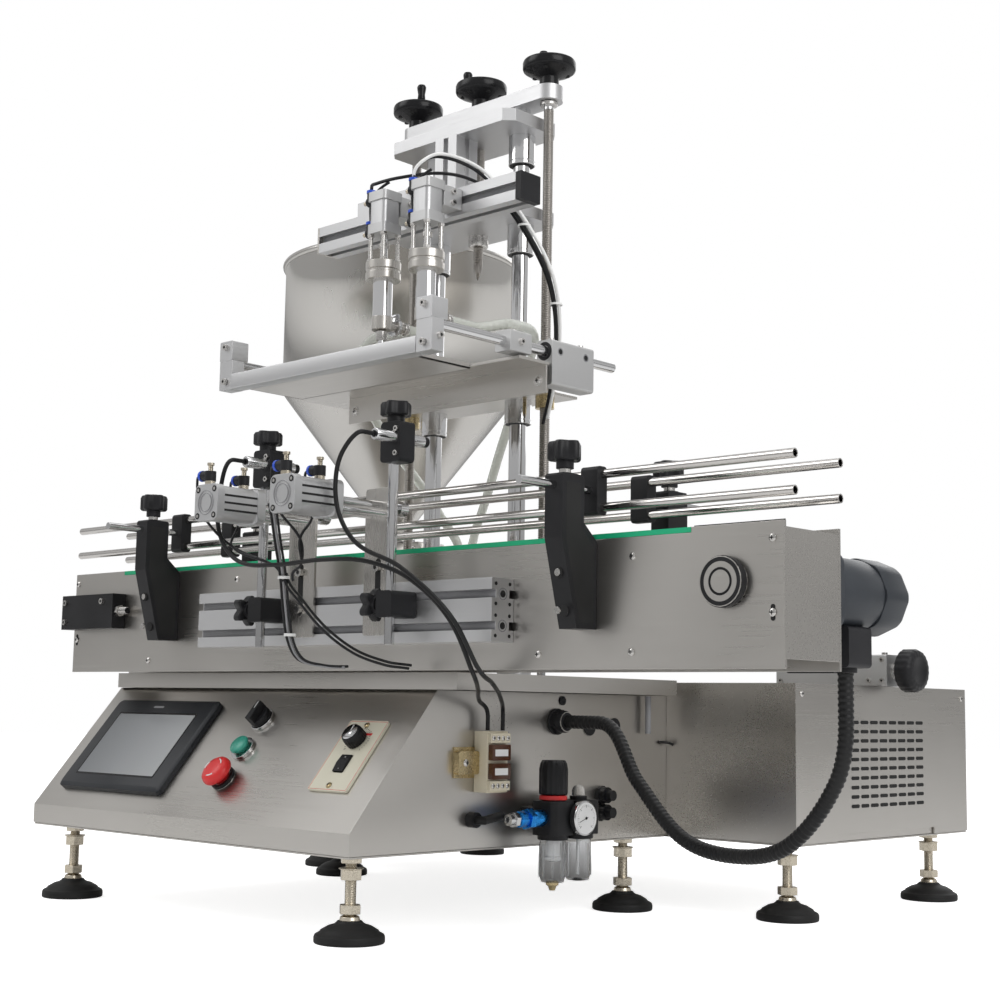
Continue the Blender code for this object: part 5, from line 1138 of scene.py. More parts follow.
def lift():
    box = local("lift_frame")
    top = box[5]
    bar_low = top - 0.018
    piece = Piece()
    outline = rounded(box[0], box[1], LIFT_Y - 0.017, LIFT_Y + 0.017, 0.0165, 12)
    piece.prism("Z", outline, bar_low, top, ALUMINIUM)
    for x in COLUMNS:
        centre = (x, LIFT_Y)
        piece.rod("Z", centre, 0.010, box[4] + 0.010, bar_low, CHROME, 64)
        foot = (
            (0.0195, box[4]), (0.0195, box[4] + 0.008), (0.0145, box[4] + 0.0125), (0.010, box[4] + 0.0125)
        )
        piece.lathe("Z", centre, foot, ALUMINIUM, 64)
        piece.socket_screw("Z", centre, 0.0065, top, 1)
        for a, b in ((0.014, 0.0), (-0.014, 0.0)):
            piece.rod("Z", (x + a, LIFT_Y + b), 0.0028, box[4] + 0.008, box[4] + 0.0100, BOLT, 20)
    piece.done("lift frame", "machine", ["lift_frame"], "chrome", 0.0007)
    for x, hand, turned in (
        (OUTER_SCREWS[0], "left", -33.7), (LIFT_X, "centre", 186.6), (OUTER_SCREWS[1], "right", 151.0)
    ):
        node = f"lead_screw_{hand}"
        box = local(node)
        centre = (x, LIFT_Y)
        piece = Piece()
        if hand == "centre":
            piece.lathe(
                "Z", centre, ((0.0, box[4]), (0.0045, box[4] + 0.012), (0.0058, box[4] + 0.020)),
                SCREW_STEEL,
            )
            piece.thread("Z", centre, 0.006, box[4] + 0.018, bar_low - 0.008, 0.0021, SCREW_STEEL, 28)
        else:
            piece.thread("Z", centre, 0.006, box[4] + 0.022, bar_low - 0.008, 0.0021, SCREW_STEEL, 28)
            piece.rod("Z", centre, 0.0048, box[4], box[4] + 0.024, CHROME)
        piece.rod("Z", centre, 0.0058, bar_low - 0.010, top + 0.002, CHROME)
        collar = ((0.0098, -0.0050), (0.0104, -0.0045), (0.0104, -0.0008), (0.0098, -0.0004))
        piece.lathe("Z", centre, collar, BOLT, base=bar_low)
        wheel = (
            (0.0115, 0.0004), (0.0115, 0.0110), (0.0165, 0.0140), (0.0285, 0.0190), (0.0308, 0.0205),
            (0.0315, 0.0225), (0.0315, 0.0288), (0.0305, 0.0313), (0.0285, 0.0322), (0.0262, 0.0313),
            (0.0250, 0.0265), (0.0125, 0.0245), (0.0115, 0.0285), (0.0040, 0.0302), (0, 0.0300),
        )
        piece.lathe("Z", centre, wheel, BLACK_GLOSS, 96, base=top)
        # The six holes in the hand wheel are painted shade.
        for i in range(6):
            angle = tau * (i + 0.5) / 6 + radians(turned)
            spot = (x + 0.0225 * cos(angle), LIFT_Y + 0.0225 * sin(angle))
            piece.rod("Z", spot, 0.0030, top + 0.0158, top + 0.0180, PAINTED_HOLE_SHADE, 20)
        grip = (x + 0.0215 * cos(radians(turned)), LIFT_Y + 0.0215 * sin(radians(turned)))
        piece.rod("Z", grip, 0.0026, top + 0.022, top + 0.035, CHROME)
        handle = (
            (0.0042, 0.0325), (0.0050, 0.0345), (0.0044, 0.0405), (0.0056, 0.0475), (0.0058, 0.0500),
            (0.0044, 0.0528), (0, 0.0532),
        )
        piece.lathe("Z", grip, handle, BLACK_GLOSS, 40, base=top)
        piece.done(node.replace("_", " "), node, [node], "chrome", 0.0003)


# ---------------------------------------------------------------- head carriage, beam and dosing heads
def chamfered(left, right, front, back, corner):
    return (
        (left + corner, front), (right - corner, front), (right, front + corner), (right, back - corner),
        (right - corner, back), (left + corner, back), (left, back - corner), (left, front + corner),
    )


def bushing(piece, x, y, low, high):
    """A flanged linear bushing with retaining grooves."""
    profile = (
        (0.0152, low), (0.0158, low + 0.0006), (0.0158, low + 0.0035), (0.0150, low + 0.0037),
        (0.0150, low + 0.0050), (0.0158, low + 0.0052), (0.0158, high), (0.0105, high), (0.0105, low),
    )
    piece.lathe("Z", (x, y), profile, CHROME, 64, True)
    piece.pipe("Z", (x, y), 0.0148, 0.0104, low - 0.0002, low + 0.0004, RUBBER, 64)


def head_carriage():
    box = local("head_carriage")
    left, right, back, top = box[0], box[1], box[3], box[5]
    upper_low, middle_low, middle_top = top - 0.015, 0.800, 0.814
    piece = Piece()
    piece.prism("Z", chamfered(left, right, 0.142, back, 0.011), upper_low, top, ALUMINIUM)
    piece.prism("Z", chamfered(left, right, 0.081, back, 0.011), middle_low, middle_top, ALUMINIUM)
    piece.box(LIFT_X - 0.045, LIFT_X + 0.045, 0.044, 0.091, 0.7959, middle_top - 0.0006, ALUMINIUM)
    extrusion(
        piece, "Z", LIFT_X - 0.018, LIFT_X + 0.018, 0.141, 0.177, middle_top - 0.001, upper_low + 0.001,
        ALUMINIUM_Z, ("low", "left", "right"), 0.006, 0.004,
    )
    for x in COLUMNS:
        bushing(piece, x, LIFT_Y, upper_low - 0.036, upper_low)
        bushing(piece, x, LIFT_Y, middle_low - 0.036, middle_low)
        for low in (top, middle_top):
            piece.pipe("Z", (x, LIFT_Y), 0.0150, 0.0104, low - 0.0005, low + 0.0003, RUBBER, 48)
    # The four holes in the top plate are painted shade.
    for x, y in (
        (LIFT_X - 0.012, 0.152), (LIFT_X + 0.012, 0.152), (LIFT_X - 0.012, 0.166), (LIFT_X + 0.012, 0.166)
    ):
        piece.rod("Z", (x, y), 0.0042, top - 0.0005, top + 0.0002, PAINTED_HOLE_SHADE, 24)
    for x in (LIFT_X - 0.030, LIFT_X, LIFT_X + 0.030):
        piece.socket_screw("Z", (x, 0.056), 0.0045, middle_top - 0.0006, 1)
    # The nut under the middle plate, on the centre screw.
    piece.lathe(
        "Z", (LIFT_X, LIFT_Y), ((0.0066, -0.014), (0.011, -0.014), (0.012, -0.0125), (0.012, 0)), BOLT, 48,
        base=middle_low,
    )
    piece.done("head carriage", "head", ["head_carriage"], "steel", 0.0009)

    beam = local("head_beam")
    piece = Piece()
    extrusion(
        piece, "X", beam[2], beam[3], beam[4], beam[5], beam[0] + 0.003, beam[1] - 0.008, ALUMINIUM,
        ("low", "left", "right"), 0.007, 0.0042,
    )
    piece.box(
        beam[1] - 0.0078, beam[1], beam[2] + 0.0003, beam[3] - 0.0003, beam[4] + 0.0003, beam[5] - 0.0003,
        BLACK,
    )
    piece.box(beam[0], beam[0] + 0.0028, beam[2], beam[3], beam[4], beam[5], STEEL_Z)
    # A grey strip at the bottom of the front slot is painted shade.
    piece.box(beam[0] + 0.004, beam[1] - 0.009, beam[2] + 0.0068, beam[2] + 0.0070, 0.7760, 0.7840, GREY)
    piece.done("head beam", "head", ["head_beam"], "alu", 0.0006)


def dosing_heads():
    for index, x in enumerate(HEADS, 1):
        node = f"dosing_head_{index}"
        air_low, air_top = 0.747, 0.795
        piece = Piece()
        ends = rounded(x - 0.014, x + 0.014, -0.014, 0.014, 0.0035, 5)
        waist = rounded(x - 0.0125, x + 0.0125, -0.0125, 0.0125, 0.005, 5)
        piece.prism("Z", ends, air_low, air_low + 0.011, CAST)
        piece.prism("Z", waist, air_low + 0.011, air_top - 0.011, ALUMINIUM_Z)
        piece.prism("Z", ends, air_top - 0.011, air_top - 0.0005, CAST)
        piece.rod("Z", (x, 0), 0.0085, air_top - 0.001, air_top - 0.0002, CAST)
        for a in (-0.0105, 0.0105):
            for b in (-0.0105, 0.0105):
                piece.rod("Z", (x + a, b), 0.0024, 0.7135, air_low + 0.0005, BOLT, 24)
                piece.hexagon("Z", (x + a, b), 0.0040, 0.7160, 0.7190, BOLT)
                piece.hexagon("Z", (x + a, b), 0.0040, air_low - 0.0030, air_low, BOLT)
                piece.rod("Z", (x + a, b), 0.0026, air_top - 0.0008, air_top - 0.0001, BOLT, 20)
        # Product cylinder: stepped flange, barrel, cap and nozzle.
        piece.lathe(
            "Z", (x, 0),
            (
                (0.0185, 0.695), (0.0195, 0.6958), (0.0195, 0.7030), (0.0180, 0.7036), (0.0180, 0.7062),
                (0.0195, 0.7068), (0.0195, 0.7150), (0.0187, 0.7158), (0.0046, 0.7158),
            ),
            STEEL_Z, 72,
        )
        piece.lathe("Z", (x, 0), ((0.0108, 0.652), (0.0108, 0.696)), CHROME, 64)
        cap = ((0.0060, 0.6396), (0.0111, 0.6398), (0.0115, 0.6403), (0.0115, 0.6540), (0.0111, 0.6545))
        piece.lathe("Z", (x, 0), cap, STEEL_Z, 64)
        piece.pipe("Z", (x, 0), 0.004, 0.0030, 0.612, 0.6400, CHROME, 40)
        piece.lathe(
            "Z", (x, 0), ((0.0058, 0.6285), (0.0062, 0.6300), (0.0062, 0.6385), (0.0050, 0.6395)), BOLT, 40
        )
        # Inlet: valve body, clamp ring and hose end.
        piece.rod("Y", (x, INLET_Z), 0.0056, 0.009, 0.036, STEEL_Y)
        ring = ((0.0090, 0.0165), (0.0108, 0.0175), (0.0108, 0.0205), (0.0090, 0.0215))
        piece.lathe("Y", (x, INLET_Z), ring, CHROME, 56)
        piece.rod("X", (0.019, 0.6585), 0.0030, x - 0.005, x + 0.005, CHROME, 24)
        piece.lathe(
            "Y", (x, INLET_Z), ((0.0068, 0.0300), (0.0072, 0.0308), (0.0072, 0.0352), (0.0066, 0.0360)),
            BOLT, 40,
        )
        # Bracket to the beam.
        piece.box(x - 0.012, x + 0.012, 0.0125, 0.0396, 0.7685, 0.7915, CAST)
        for z in (0.774, 0.786):
            piece.socket_screw("X", (0.026, z), 0.0032, x + 0.012, 1)
        # Speed-control fittings on the left side, with blue rings and tubes.
        for z in (air_low + 0.006, air_top - 0.006):
            piece.rod("X", (0, z), 0.0040, x - 0.0205, x - 0.0138, NICKEL, 28)
            piece.rod("X", (0, z), 0.0052, x - 0.0270, x - 0.0195, BLACK, 32)
            piece.rod("Z", (x - 0.0232, 0), 0.0047, z - 0.004, z + 0.0125, BLACK, 32)
            piece.rod("Z", (x - 0.0232, 0), 0.0053, z + 0.0100, z + 0.0132, BLUE, 32)
            piece.thread("X", (0, z), 0.0024, x - 0.0335, x - 0.0265, 0.001, NICKEL)
        piece.done(f"dosing head {index}", "head", [node], "steel", 0.0005)
        piece = Piece()
        rod = local(f"piston_rod_{index}")
        piece.rod("Z", (x, 0), 0.0040, rod[4] + 0.006, rod[5] - 0.004, CHROME, 48)
        piece.rod("Z", (x, 0), 0.0079, rod[4], rod[4] + 0.008, WHITE, 48)
        piece.rod("Z", (x, 0), 0.0098, rod[5] - 0.006, rod[5], BLACK, 48)
        piece.pipe("Z", (x, 0), 0.0058, 0.0038, 0.7320, 0.7370, BOLT, 32)
        piece.done(f"piston rod {index}", f"piston_rod_{index}", [f"piston_rod_{index}"], "chrome", 0.0003)
    # Air tubes arch over the beam, drop behind it and hang beside the tray's right guide.
    fall = (
        (0.078, 0.083, 0.796), (0.103, 0.096, 0.758), (0.116, 0.120, 0.712), (0.112, 0.140, 0.676),
        (0.104, 0.152, 0.635), (0.090, 0.160, 0.590), (0.078, 0.162, 0.552),
    )
    right_arch = (
        (0.0288, 0.0, 0.8025), (0.031, 0.005, 0.819), (0.036, 0.030, 0.833), (0.053, 0.068, 0.825)
    )
    left_arch = (
        (-0.0392, 0.0, 0.8025), (-0.037, 0.005, 0.816), (-0.026, 0.030, 0.827), (0.010, 0.056, 0.831),
        (0.046, 0.070, 0.820),
    )
    for number, (arch, aside, behind, look) in enumerate(
        (
            (right_arch, 0.0, 0.0, BLACK), (right_arch, 0.0040, 0.0012, WHITE),
            (left_arch, -0.0045, 0.0035, BLACK),
        )
    ):
        stops = [arch[0]]
        stops += [(x + aside, y + behind, z + aside * 0.6) for x, y, z in arch[1:] + fall]
        points = route(stops, (0, 0, 1), (-0.3, 0.0, -0.95), 0.004, 0.003)
        piece = Piece()
        piece.tube(points, 0.0019, look, 12)
        piece.done(f"air tube {number + 1}", "head", (), "cable", 0)
    for number, x in enumerate((0.0288, -0.0392)):
        stops = (
            (x, 0.0, 0.7665), (x - 0.004, 0.003, 0.7760), (x - 0.009, 0.008, 0.7900),
            (x - 0.006, 0.014, 0.8060), (x + 0.003, 0.024, 0.8180),
        )
        piece = Piece()
        piece.tube(route(stops, (0, 0, 1), (0.6, 0.5, 0.5), 0.003, 0.002), 0.0016, BLACK, 12)
        piece.done(f"short air tube {number + 1}", "head", (), "cable", 0)
    piece = Piece()
    for spot in ((0.1035, 0.0975, 0.757), (0.112, 0.142, 0.676), (0.0885, 0.162, 0.590)):
        piece.pipe("Z", spot[:2], 0.0072, 0.0062, spot[2] - 0.0012, spot[2] + 0.0012, WHITE, 28)
    piece.done("tube ties", "head", (), "cream", 0.0002)


# ---------------------------------------------------------------- drip tray
def tray():
    frame_box = local("drip_tray_frame")
    low = 0.589
    piece = Piece()
    left, right, front, back = -0.197, 0.166, 0.026, 0.235
    plate = (
        (left + 0.012, front), (right, front), (right, 0.072), (0.147, 0.072), (0.147, 0.141),
        (0.074, 0.151), (0.064, 0.161), (0.064, back), (left + 0.012, back), (left, back - 0.012),
        (left, front + 0.012),
    )
    piece.prism("Z", plate, low, low + 0.003, STEEL_X)
    piece.box(-0.143, right, 0.067, 0.069, low - 0.030, low + 0.0005, STEEL_X)
    for x in (-0.132, 0.155):
        piece.pan_screw("Y", (x, low - 0.016), 0.0042, 0.067, -1)
        piece.rod("Y", (x, low - 0.016), 0.0060, 0.0664, 0.0670, BOLT)
    for x in COLUMNS:
        bushing(piece, x, LIFT_Y, low - 0.028, low)
        piece.pipe("Z", (x, LIFT_Y), 0.0155, 0.0104, low + 0.003, low + 0.0042, RUBBER, 56)
    for x in OUTER_SCREWS:
        piece.pipe("Z", (x, LIFT_Y), 0.011, 0.0063, low - 0.014, low, BRASS, 48)
        piece.pipe("Z", (x, LIFT_Y), 0.0135, 0.0063, low + 0.003, low + 0.0050, BRASS, 48)
    for x in TRAY_SHAFTS:
        outer = 1 if x > 0 else -1
        under = low + 0.003 if x < 0 else low - 0.020
        block = rounded(x - 0.011, x + 0.011, under, low + 0.0285, 0.0035)
        piece.prism("Y", block, 0.0742, 0.141, CAST)
        piece.pipe("Y", (x, TRAY_SHAFT_Z), 0.0098, 0.0059, 0.0735, 0.0755, BLACK, 48)
        piece.pipe("Y", (x, TRAY_SHAFT_Z), 0.0098, 0.0059, 0.1395, 0.1415, BLACK, 48)
        for y in (0.084, 0.131):
            piece.socket_screw("Z", (x, y), 0.0036, low + 0.0285, 1)
        # Each bore end in the blocks' outer faces is a patch of painted shade inside a grey ring.
        for y in (0.087, 0.128):
            piece.rod(
                "X", (y, TRAY_SHAFT_Z), 0.0044, *sorted((x + outer * 0.0109, x + outer * 0.0111)), GREY, 28
            )
            piece.rod(
                "X", (y, TRAY_SHAFT_Z), 0.0030, *sorted((x + outer * 0.0110, x + outer * 0.01115)), PAINTED_HOLE_SHADE, 24
            )
    for x in (-0.09, 0.02, 0.10):
        piece.socket_screw("Z", (x, 0.038), 0.0030, low + 0.003, 1)
    piece.done("tray carriage", "tray_carriage", ["tray_carriage"], "steel", 0.0006)

    front, back = frame_box[2], frame_box[3]
    bar_low = frame_box[4]
    piece = Piece()
    bar = rounded(front, front + 0.017, bar_low, bar_low + 0.017, 0.0012, 3)
    piece.prism("X", bar, -0.1468, 0.1458, ALUMINIUM)
    inner_left, inner_right = -0.134, 0.133
    plate_back = -0.012
    piece.box(inner_left, inner_right, front + 0.016, plate_back, bar_low, bar_low + 0.0018, STEEL_X)
    piece.box(inner_left, inner_right, plate_back - 0.0016, plate_back, bar_low, bar_low + 0.006, STEEL_X)
    for edge in (inner_left, inner_right - 0.0016):
        piece.box(edge, edge + 0.0016, front + 0.016, plate_back, bar_low, bar_low + 0.006, STEEL_X)
    for i in range(7):
        x = inner_left + 0.020 + i * (inner_right - inner_left - 0.040) / 6
        piece.socket_screw("Z", (x, front + 0.010), 0.0026, bar_low + 0.017, 1)
    for x in TRAY_SHAFTS:
        piece.rod("Y", (x, TRAY_SHAFT_Z), 0.0055, front + 0.010, back, CHROME, 56)
        cube = rounded(x - 0.011, x + 0.011, frame_box[5] - 0.022, frame_box[5], 0.0015, 3)
        piece.prism("Y", cube, front, front + 0.022, ALUMINIUM)
        leg = rounded(x - 0.011, x + 0.011, bar_low, frame_box[5] - 0.0215, 0.0012, 3)
        piece.prism("Y", leg, front + 0.0006, front + 0.017, ALUMINIUM)
        stop = rounded(x - 0.011, x + 0.011, low + 0.0055, 0.6165, 0.002, 3)
        piece.prism("Y", stop, 0.010, 0.042, CAST)
        for z in (bar_low + 0.009, frame_box[5] - 0.007):
            piece.socket_screw("Y", (x, z), 0.0036, front, -1)
        outer = 1 if x > 0 else -1
        piece.socket_screw("X", (front + 0.011, TRAY_SHAFT_Z - 0.014), 0.0036, x + outer * 0.011, outer)
        piece.socket_screw("X", (0.026, TRAY_SHAFT_Z), 0.0036, x + outer * 0.011, outer)
        piece.socket_screw("Z", (x, 0.026), 0.0032, 0.6165, 1)
    piece.done("drip tray", "drip_tray_frame", ["drip_tray_frame"], "alu", 0.0006)


# ---------------------------------------------------------------- hopper
def hopper():
    x, y = -0.460, 0.440
    box = local("hopper")
    radius = (box[1] - box[0]) / 2 - 0.005
    rim = box[5] - 0.0050
    wall = 0.002
    profile = [
        (0.020, 0.463), (0.020, 0.486), (0.022, 0.4905), (radius - 0.004, 0.681), (radius - 0.0008, 0.686),
        (radius, 0.691), (radius, rim - 0.004),
    ]
    for i in range(9):
        angle = -pi / 2 + pi * i / 8
        profile.append((radius + 0.0006 + 0.0042 * cos(angle), rim + 0.0046 * sin(angle)))
    profile += [
        (radius - wall, rim + 0.0040), (radius - wall, 0.688), (0.0205, 0.4925), (0.018, 0.487),
        (0.018, 0.463),
    ]
    piece = Piece()
    piece.lathe("Z", (x, y), profile, HOPPER_STEEL, 160, True)
    # Clamp ring at the outlet, outlet block, its spigots, post and foot.
    ring = (
        (0.0200, 0.4665), (0.0265, 0.4680), (0.0280, 0.4705), (0.0280, 0.4745), (0.0265, 0.4770),
        (0.0200, 0.4785),
    )
    piece.lathe("Z", (x, y), ring, CHROME, 72)
    left, right = x - 0.035, x + 0.075
    outline = rounded(left, right, 0.425, 0.465, 0.003, 4)
    piece.prism("Y", outline, y - 0.025, y + 0.025, STEEL_X)
    for offset in (-0.012, 0.012):
        piece.pipe("X", (y + offset, 0.445), 0.0064, 0.0045, right - 0.001, right + 0.0115, CHROME, 40)
        piece.pipe("X", (y + offset, 0.445), 0.0084, 0.0060, right + 0.001, right + 0.0050, BOLT, 40)
    post = rounded(x - 0.030, x + 0.030, y - 0.025, y + 0.025, 0.004, 4)
    piece.prism("Z", post, box[4] + 0.005, 0.4255, STEEL_Z)
    foot = rounded(x - 0.050, x + 0.050, y - 0.037, y + 0.045, 0.004, 4)
    piece.prism("Z", foot, box[4], box[4] + 0.006, STEEL_X)
    for a in (-0.041, 0.041):
        for b in (-0.027, 0.035):
            piece.socket_screw("Z", (x + a, y + b), 0.0040, box[4] + 0.006, 1)
    for corner in (0.434, 0.456):
        for a in (left + 0.010, right - 0.010):
            piece.socket_screw("Y", (a, corner), 0.0034, y - 0.025, -1)
    piece.done("hopper", "machine", ["hopper"], "steel", 0)


# ---------------------------------------------------------------- side equipment
def side_equipment():
    x, y, low = 0.110, 0.150, 0.100
    half = 0.018
    high = low + 0.036
    middle = low + 0.018
    oiler = y + 0.041
    piece = Piece()
    for centre in (y, oiler):
        body = rounded(x - half + 0.001, x + half - 0.001, centre - half, centre + half, 0.007, 5)
        piece.prism("Z", body, low, high, BLACK)
        piece.lathe(
            "Z", (x, centre), ((0.0158, -0.005), (0.0165, -0.004), (0.0165, 0.0005)), BLACK, base=low
        )
    piece.prism(
        "X", rounded(y - 0.012, oiler + 0.012, middle - 0.010, middle + 0.010, 0.002), MOUNTING_FACE,
        x - half + 0.002, BLACK,
    )
    # Air inlet: blue coupling and bright nipple.
    face = y - half
    piece.lathe(
        "Y", (x, middle),
        ((0.0085, 0), (0.0090, -0.003), (0.0090, -0.016), (0.0080, -0.018)), AZURE,
    base=face)
    piece.hexagon("Y", (x, middle), 0.0112, face - 0.0175, face - 0.0255, AZURE)
    piece.lathe(
        "Y", (x, middle), ((0.0078, -0.0255), (0.0084, -0.027), (0.0084, -0.036), (0.0070, -0.0375)), AZURE,
        base=face,
    )
    piece.rod("Y", (x, middle), 0.0058, face - 0.0370, face - 0.0520, CHROME)
    piece.hexagon("Y", (x, middle), 0.0082, face - 0.0400, face - 0.0455, CHROME)
    piece.pipe("Y", (x, middle), 0.0058, 0.0036, face - 0.0520, face - 0.0526, BOLT)
    # Bowls: clear and ribbed, with a white element inside and the drain below.
    for centre, bottom in ((y, low - 0.050), (oiler, low - 0.050)):
        shell = (
            (0.0135, low - 0.004), (0.0142, low - 0.008), (0.0142, bottom + 0.008),
            (0.0120, bottom + 0.001), (0.0050, bottom), (0.0045, bottom + 0.0015),
            (0.0110, bottom + 0.0025), (0.0128, bottom + 0.009), (0.0128, low - 0.004),
        )
        piece.lathe("Z", (x, centre), shell, CLEAR, 56, True)
        for rib in range(8):
            angle = tau * rib / 8
            a, b = x + 0.0141 * cos(angle), centre + 0.0141 * sin(angle)
            piece.rod("Z", (a, b), 0.0008, bottom + 0.006, low - 0.010, CLEAR, 8)
    piece.lathe(
        "Z", (x, y),
        ((0.0075, -0.004), (0.0075, -0.022), (0.0090, -0.023), (0.0090, -0.026), (0.0030, -0.028)), WHITE,
        base=low,
    )
    piece.rod("Z", (x, oiler), 0.0018, low - 0.043, low - 0.004, WHITE, 24)
    piece.lathe(
        "Z", (x, y),
        ((0.0052, -0.0478), (0.0068, -0.0495), (0.0068, -0.0520), (0.0045, -0.0535), (0.0030, -0.0578)),
        BRASS, base=low,
    )
    piece.lathe("Z", (x, oiler), ((0.0040, -0.0470), (0.0050, -0.0492), (0.0020, -0.0499)), BLACK, base=low)
    # Red ring under the knob, and the oiler's clear dome.
    piece.lathe(
        "Z", (x, y), ((0.0125, 0), (0.0150, 0.001), (0.0150, 0.0052), (0.0120, 0.0060)), RED, 56, base=high
    )
    piece.rod("Z", (x, oiler), 0.0095, high, high + 0.004, BLACK)
    dome = ((0.0072, 0.004), (0.0072, 0.010), (0.0055, 0.0140), (0.0025, 0.0156), (0, 0.0160))
    piece.lathe("Z", (x, oiler), dome, CLEAR, base=high)
    # Gauge: bright case, white face, ticks and a needle, facing +X.
    front = x + half
    piece.rod("X", (y + 0.023, middle), 0.0050, front - 0.003, front + 0.001, NICKEL)
    face_y = y + 0.023
    case = ((0.0150, 0.0003), (0.0178, 0.0012), (0.0183, 0.0020), (0.0183, 0.0080), (0.0172, 0.0088))
    piece.lathe("X", (face_y, middle), case, CHROME, 72, base=front)
    dial = front + 0.0089
    piece.rod("X", (face_y, middle), 0.0166, dial - 0.001, front + 0.0089, DIAL, 64)
    for i in range(31):
        angle = radians(225 - 270 * i / 30)
        long = i % 5 == 0
        r0, r1 = (0.0112 if long else 0.0126), 0.0142
        a, b = cos(angle), sin(angle)
        piece.tube(
            [
                (dial + 0.0001, face_y + r0 * a, middle + r0 * b),
                (dial + 0.0001, face_y + r1 * a, middle + r1 * b),
            ],
            0.00028 if long else 0.00016, BLACK_GLOSS, 4,
        )
    needle = radians(200)
    piece.tube(
        [
            (dial + 0.0003, face_y - 0.003 * cos(needle), middle - 0.003 * sin(needle)),
            (dial + 0.0003, face_y + 0.0116 * cos(needle), middle + 0.0116 * sin(needle)),
        ],
        0.00032, BLACK_GLOSS, 5,
    )
    piece.rod("X", (face_y, middle), 0.0016, dial - 0.0004, dial + 0.0005, BLACK_GLOSS, 24)
    # Push-in elbows behind the unit.
    for z in (middle + 0.006, middle - 0.008):
        piece.rod("Y", (x - 0.004, z), 0.0052, oiler + half - 0.001, oiler + half + 0.010, BLACK)
        piece.rod("Y", (x - 0.004, z), 0.0058, oiler + half + 0.009, oiler + half + 0.0115, BLUE)
    piece.done("air unit", "machine", ["air_unit"], "black", 0.0004)

    piece = Piece()
    base = high + 0.0063
    profile = ((0.95, 0.0), (1.0, 0.002), (1.0, 0.027), (0.92, 0.033), (0.80, 0.0362))
    shape = [(share, base + at) for share, at in profile]
    piece.fluted("Z", (x, y), 0.0155, shape, BLACK, 6, 0.035)
    piece.done("pressure knob", "pressure_knob", ["pressure_knob"], "black", 0)

    # A relay block on a brass-coloured bracket, with brown covers on its outer face.
    wall = MOUNTING_FACE
    piece = Piece()
    piece.box(wall, wall + 0.0015, 0.034, 0.0645, 0.160, 0.192, BRASS)
    piece.prism("X", rounded(0.034, 0.0645, 0.1640, 0.1880, 0.003, 3), wall + 0.0010, wall + 0.0085, BRASS)
    piece.pan_screw("X", (0.044, 0.176), 0.0040, wall + 0.0085, 1)
    front_y, back_y = 0.0642, 0.0958
    piece.prism("Z", rounded(wall, wall + 0.0195, front_y, back_y, 0.0012, 2), 0.1453, 0.2087, CREAM)
    for z in (0.1475, 0.1967):
        piece.box(wall + 0.019, wall + 0.0238, front_y + 0.001, back_y - 0.001, z, z + 0.0098, CREAM)
        for k in range(4):
            piece.pan_screw("X", (front_y + 0.0050 + k * 0.0072, z + 0.0049), 0.0026, wall + 0.0238, 1)
    for z in (0.1590, 0.1785):
        piece.prism(
            "X", rounded(front_y + 0.0020, back_y - 0.0020, z, z + 0.0165, 0.0012, 2), wall + 0.019,
            wall + 0.0257, BROWN,
        )
        piece.box(
            wall + 0.0257, wall + 0.0258, front_y + 0.006, back_y - 0.006, z + 0.0045, z + 0.0115, WHITE
        )
    piece.done("relays", "machine", ["relay_block"], "cream", 0.0004)

    box = local("metering_slide")
    piece = Piece()
    body = rounded(box[2], box[3], box[4], box[5], 0.002, 3)
    piece.prism("X", body, box[0], box[1] - 0.006, CAST)
    # The slot in the front face is a thin patch of painted shade.
    piece.prism(
        "Y", rounded(box[0] + 0.015, box[1] - 0.065, 0.2825, 0.2895, 0.003, 3), box[2] - 0.0001,
        box[2] + 0.0001, PAINTED_HOLE_SHADE,
    )
    for x2 in (box[0] + 0.007, box[1] - 0.030, box[1] - 0.012):
        for z in (0.2735, 0.2985):
            piece.socket_screw("Y", (x2, z), 0.0030, box[2], -1)
    for x2 in (box[0] + 0.012, box[1] - 0.02):
        piece.socket_screw("Z", (x2, METERING_Y), 0.0036, box[5], 1)
    piece.rod("X", (METERING_Y, (box[4] + box[5]) / 2), 0.010, box[1] - 0.007, box[1], BOLT)
    piece.done("metering slide", "machine", ["metering_slide"], "alu", 0.0006)
    knob = local("metering_knob")
    piece = Piece()
    centre = (METERING_Y, (knob[4] + knob[5]) / 2)
    hub = box[1] + 0.0003
    piece.lathe("X", centre, ((0.0135, 0), (0.014, 0.005)), BLACK, base=hub)
    profile = (
        (0.92, 0.0055), (1.0, 0.008), (1.0, 0.021), (0.90, 0.0262), (0.60, 0.0272), (0.55, 0.0262),
        (0.0, 0.0262),
    )
    shape = [(share, hub + at) for share, at in profile]
    piece.fluted("X", centre, 0.026, shape, BLACK, 6, 0.02, 120, 0.88)
    piece.rod("X", centre, 0.0048, box[1] - 0.050, hub + 0.004, CHROME)
    piece.done("metering knob", "metering_knob", ["metering_knob"], "black", 0)


cabinets()
panel()
conveyor()
motor()
guide_rails()
stops()
stop_tubes()
lift()
head_carriage()
dosing_heads()
tray()
hopper()
side_equipment()


# ---------------------------------------------------------------- floor, light and world
def plane(name, corners, look):
    mesh = bpy.data.meshes.new(name)
    mesh.from_pydata(corners, [], [(0, 1, 2, 3)])
    mesh.materials.append(look)
    made = bpy.data.objects.new(name.replace(" ", "-"), mesh)
    scene.collection.objects.link(made)
    return made


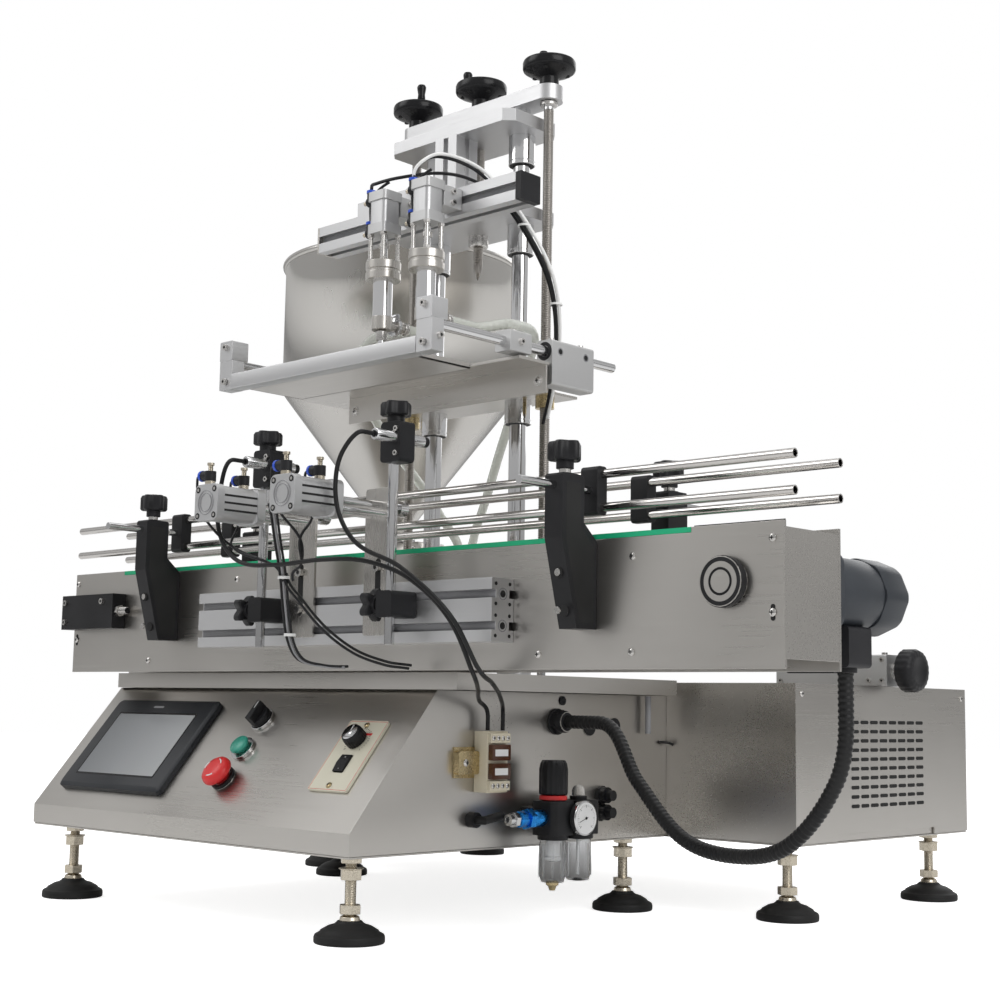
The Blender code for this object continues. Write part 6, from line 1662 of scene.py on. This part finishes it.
def stage():
    """A pale floor that keeps soft contact shadows, and a white surround for the camera."""
    look = Look("floor")
    look.put(roughness=0.9)
    look.shader.inputs["Base Color"].default_value = (0.86, 0.86, 0.86, 1)
    glow = look.add("ShaderNodeEmission")
    glow.inputs["Strength"].default_value = 0.80
    total = look.add("ShaderNodeAddShader")
    path = look.add("ShaderNodeLightPath")
    mix = look.add("ShaderNodeMixShader")
    output = look.tree.nodes["Material Output"]
    look.link(look.shader.outputs[0], total.inputs[0])
    look.link(glow.outputs[0], total.inputs[1])
    look.link(path.outputs["Is Camera Ray"], mix.inputs[0])
    look.link(look.shader.outputs[0], mix.inputs[1])
    look.link(total.outputs[0], mix.inputs[2])
    look.link(mix.outputs[0], output.inputs["Surface"])
    plane("floor", [(-9, -9, -0.0002), (9, -9, -0.0002), (9, 9, -0.0002), (-9, 9, -0.0002)], look.material)

    world = bpy.data.worlds.new("studio")
    scene.world = world
    world.use_nodes = True
    tree = world.node_tree
    nodes, links = tree.nodes, tree.links
    soft = nodes["Background"]
    output = nodes["World Output"]
    where = nodes.new("ShaderNodeTexCoord")
    split = nodes.new("ShaderNodeSeparateXYZ")
    ramp = nodes.new("ShaderNodeValToRGB")
    ramp.color_ramp.elements[0].position = 0.42
    ramp.color_ramp.elements[0].color = (0.22, 0.22, 0.22, 1)
    ramp.color_ramp.elements[1].position = 1.0
    ramp.color_ramp.elements[1].color = (0.95, 0.95, 0.95, 1)
    for position, value in ((0.52, 0.42), (0.60, 0.85), (0.78, 0.62)):
        ramp.color_ramp.elements.new(position).color = (value, value, value, 1)
    half = nodes.new("ShaderNodeMath")
    half.operation = "MULTIPLY_ADD"
    half.inputs[1].default_value = 0.5
    half.inputs[2].default_value = 0.5
    links.new(where.outputs["Generated"], split.inputs[0])
    links.new(split.outputs["Z"], half.inputs[0])
    links.new(half.outputs[0], ramp.inputs[0])
    links.new(ramp.outputs[0], soft.inputs["Color"])
    soft.inputs["Strength"].default_value = 0.75
    white = nodes.new("ShaderNodeBackground")
    white.inputs["Color"].default_value = (1, 1, 1, 1)
    white.inputs["Strength"].default_value = 1.0
    path = nodes.new("ShaderNodeLightPath")
    mix = nodes.new("ShaderNodeMixShader")
    links.new(path.outputs["Is Camera Ray"], mix.inputs[0])
    links.new(soft.outputs[0], mix.inputs[1])
    links.new(white.outputs[0], mix.inputs[2])
    links.new(mix.outputs[0], output.inputs["Surface"])

    for name, spot, size, power in (
        ("key", (-1.6, -2.2, 2.6), 1.8, 27), ("fill", (2.6, -0.6, 1.9), 1.8, 34),
        ("top", (0.2, 0.3, 3.2), 2.4, 24), ("back", (-0.6, 3.0, 2.0), 2.0, 16),
    ):
        data = bpy.data.lights.new(name, "AREA")
        data.size = size
        data.energy = power
        lamp = bpy.data.objects.new(name, data)
        lamp.location = spot
        lamp.rotation_euler = (Vector((0, 0, 0.45)) - Vector(spot)).to_track_quat("-Z", "Y").to_euler()
        scene.collection.objects.link(lamp)


stage()
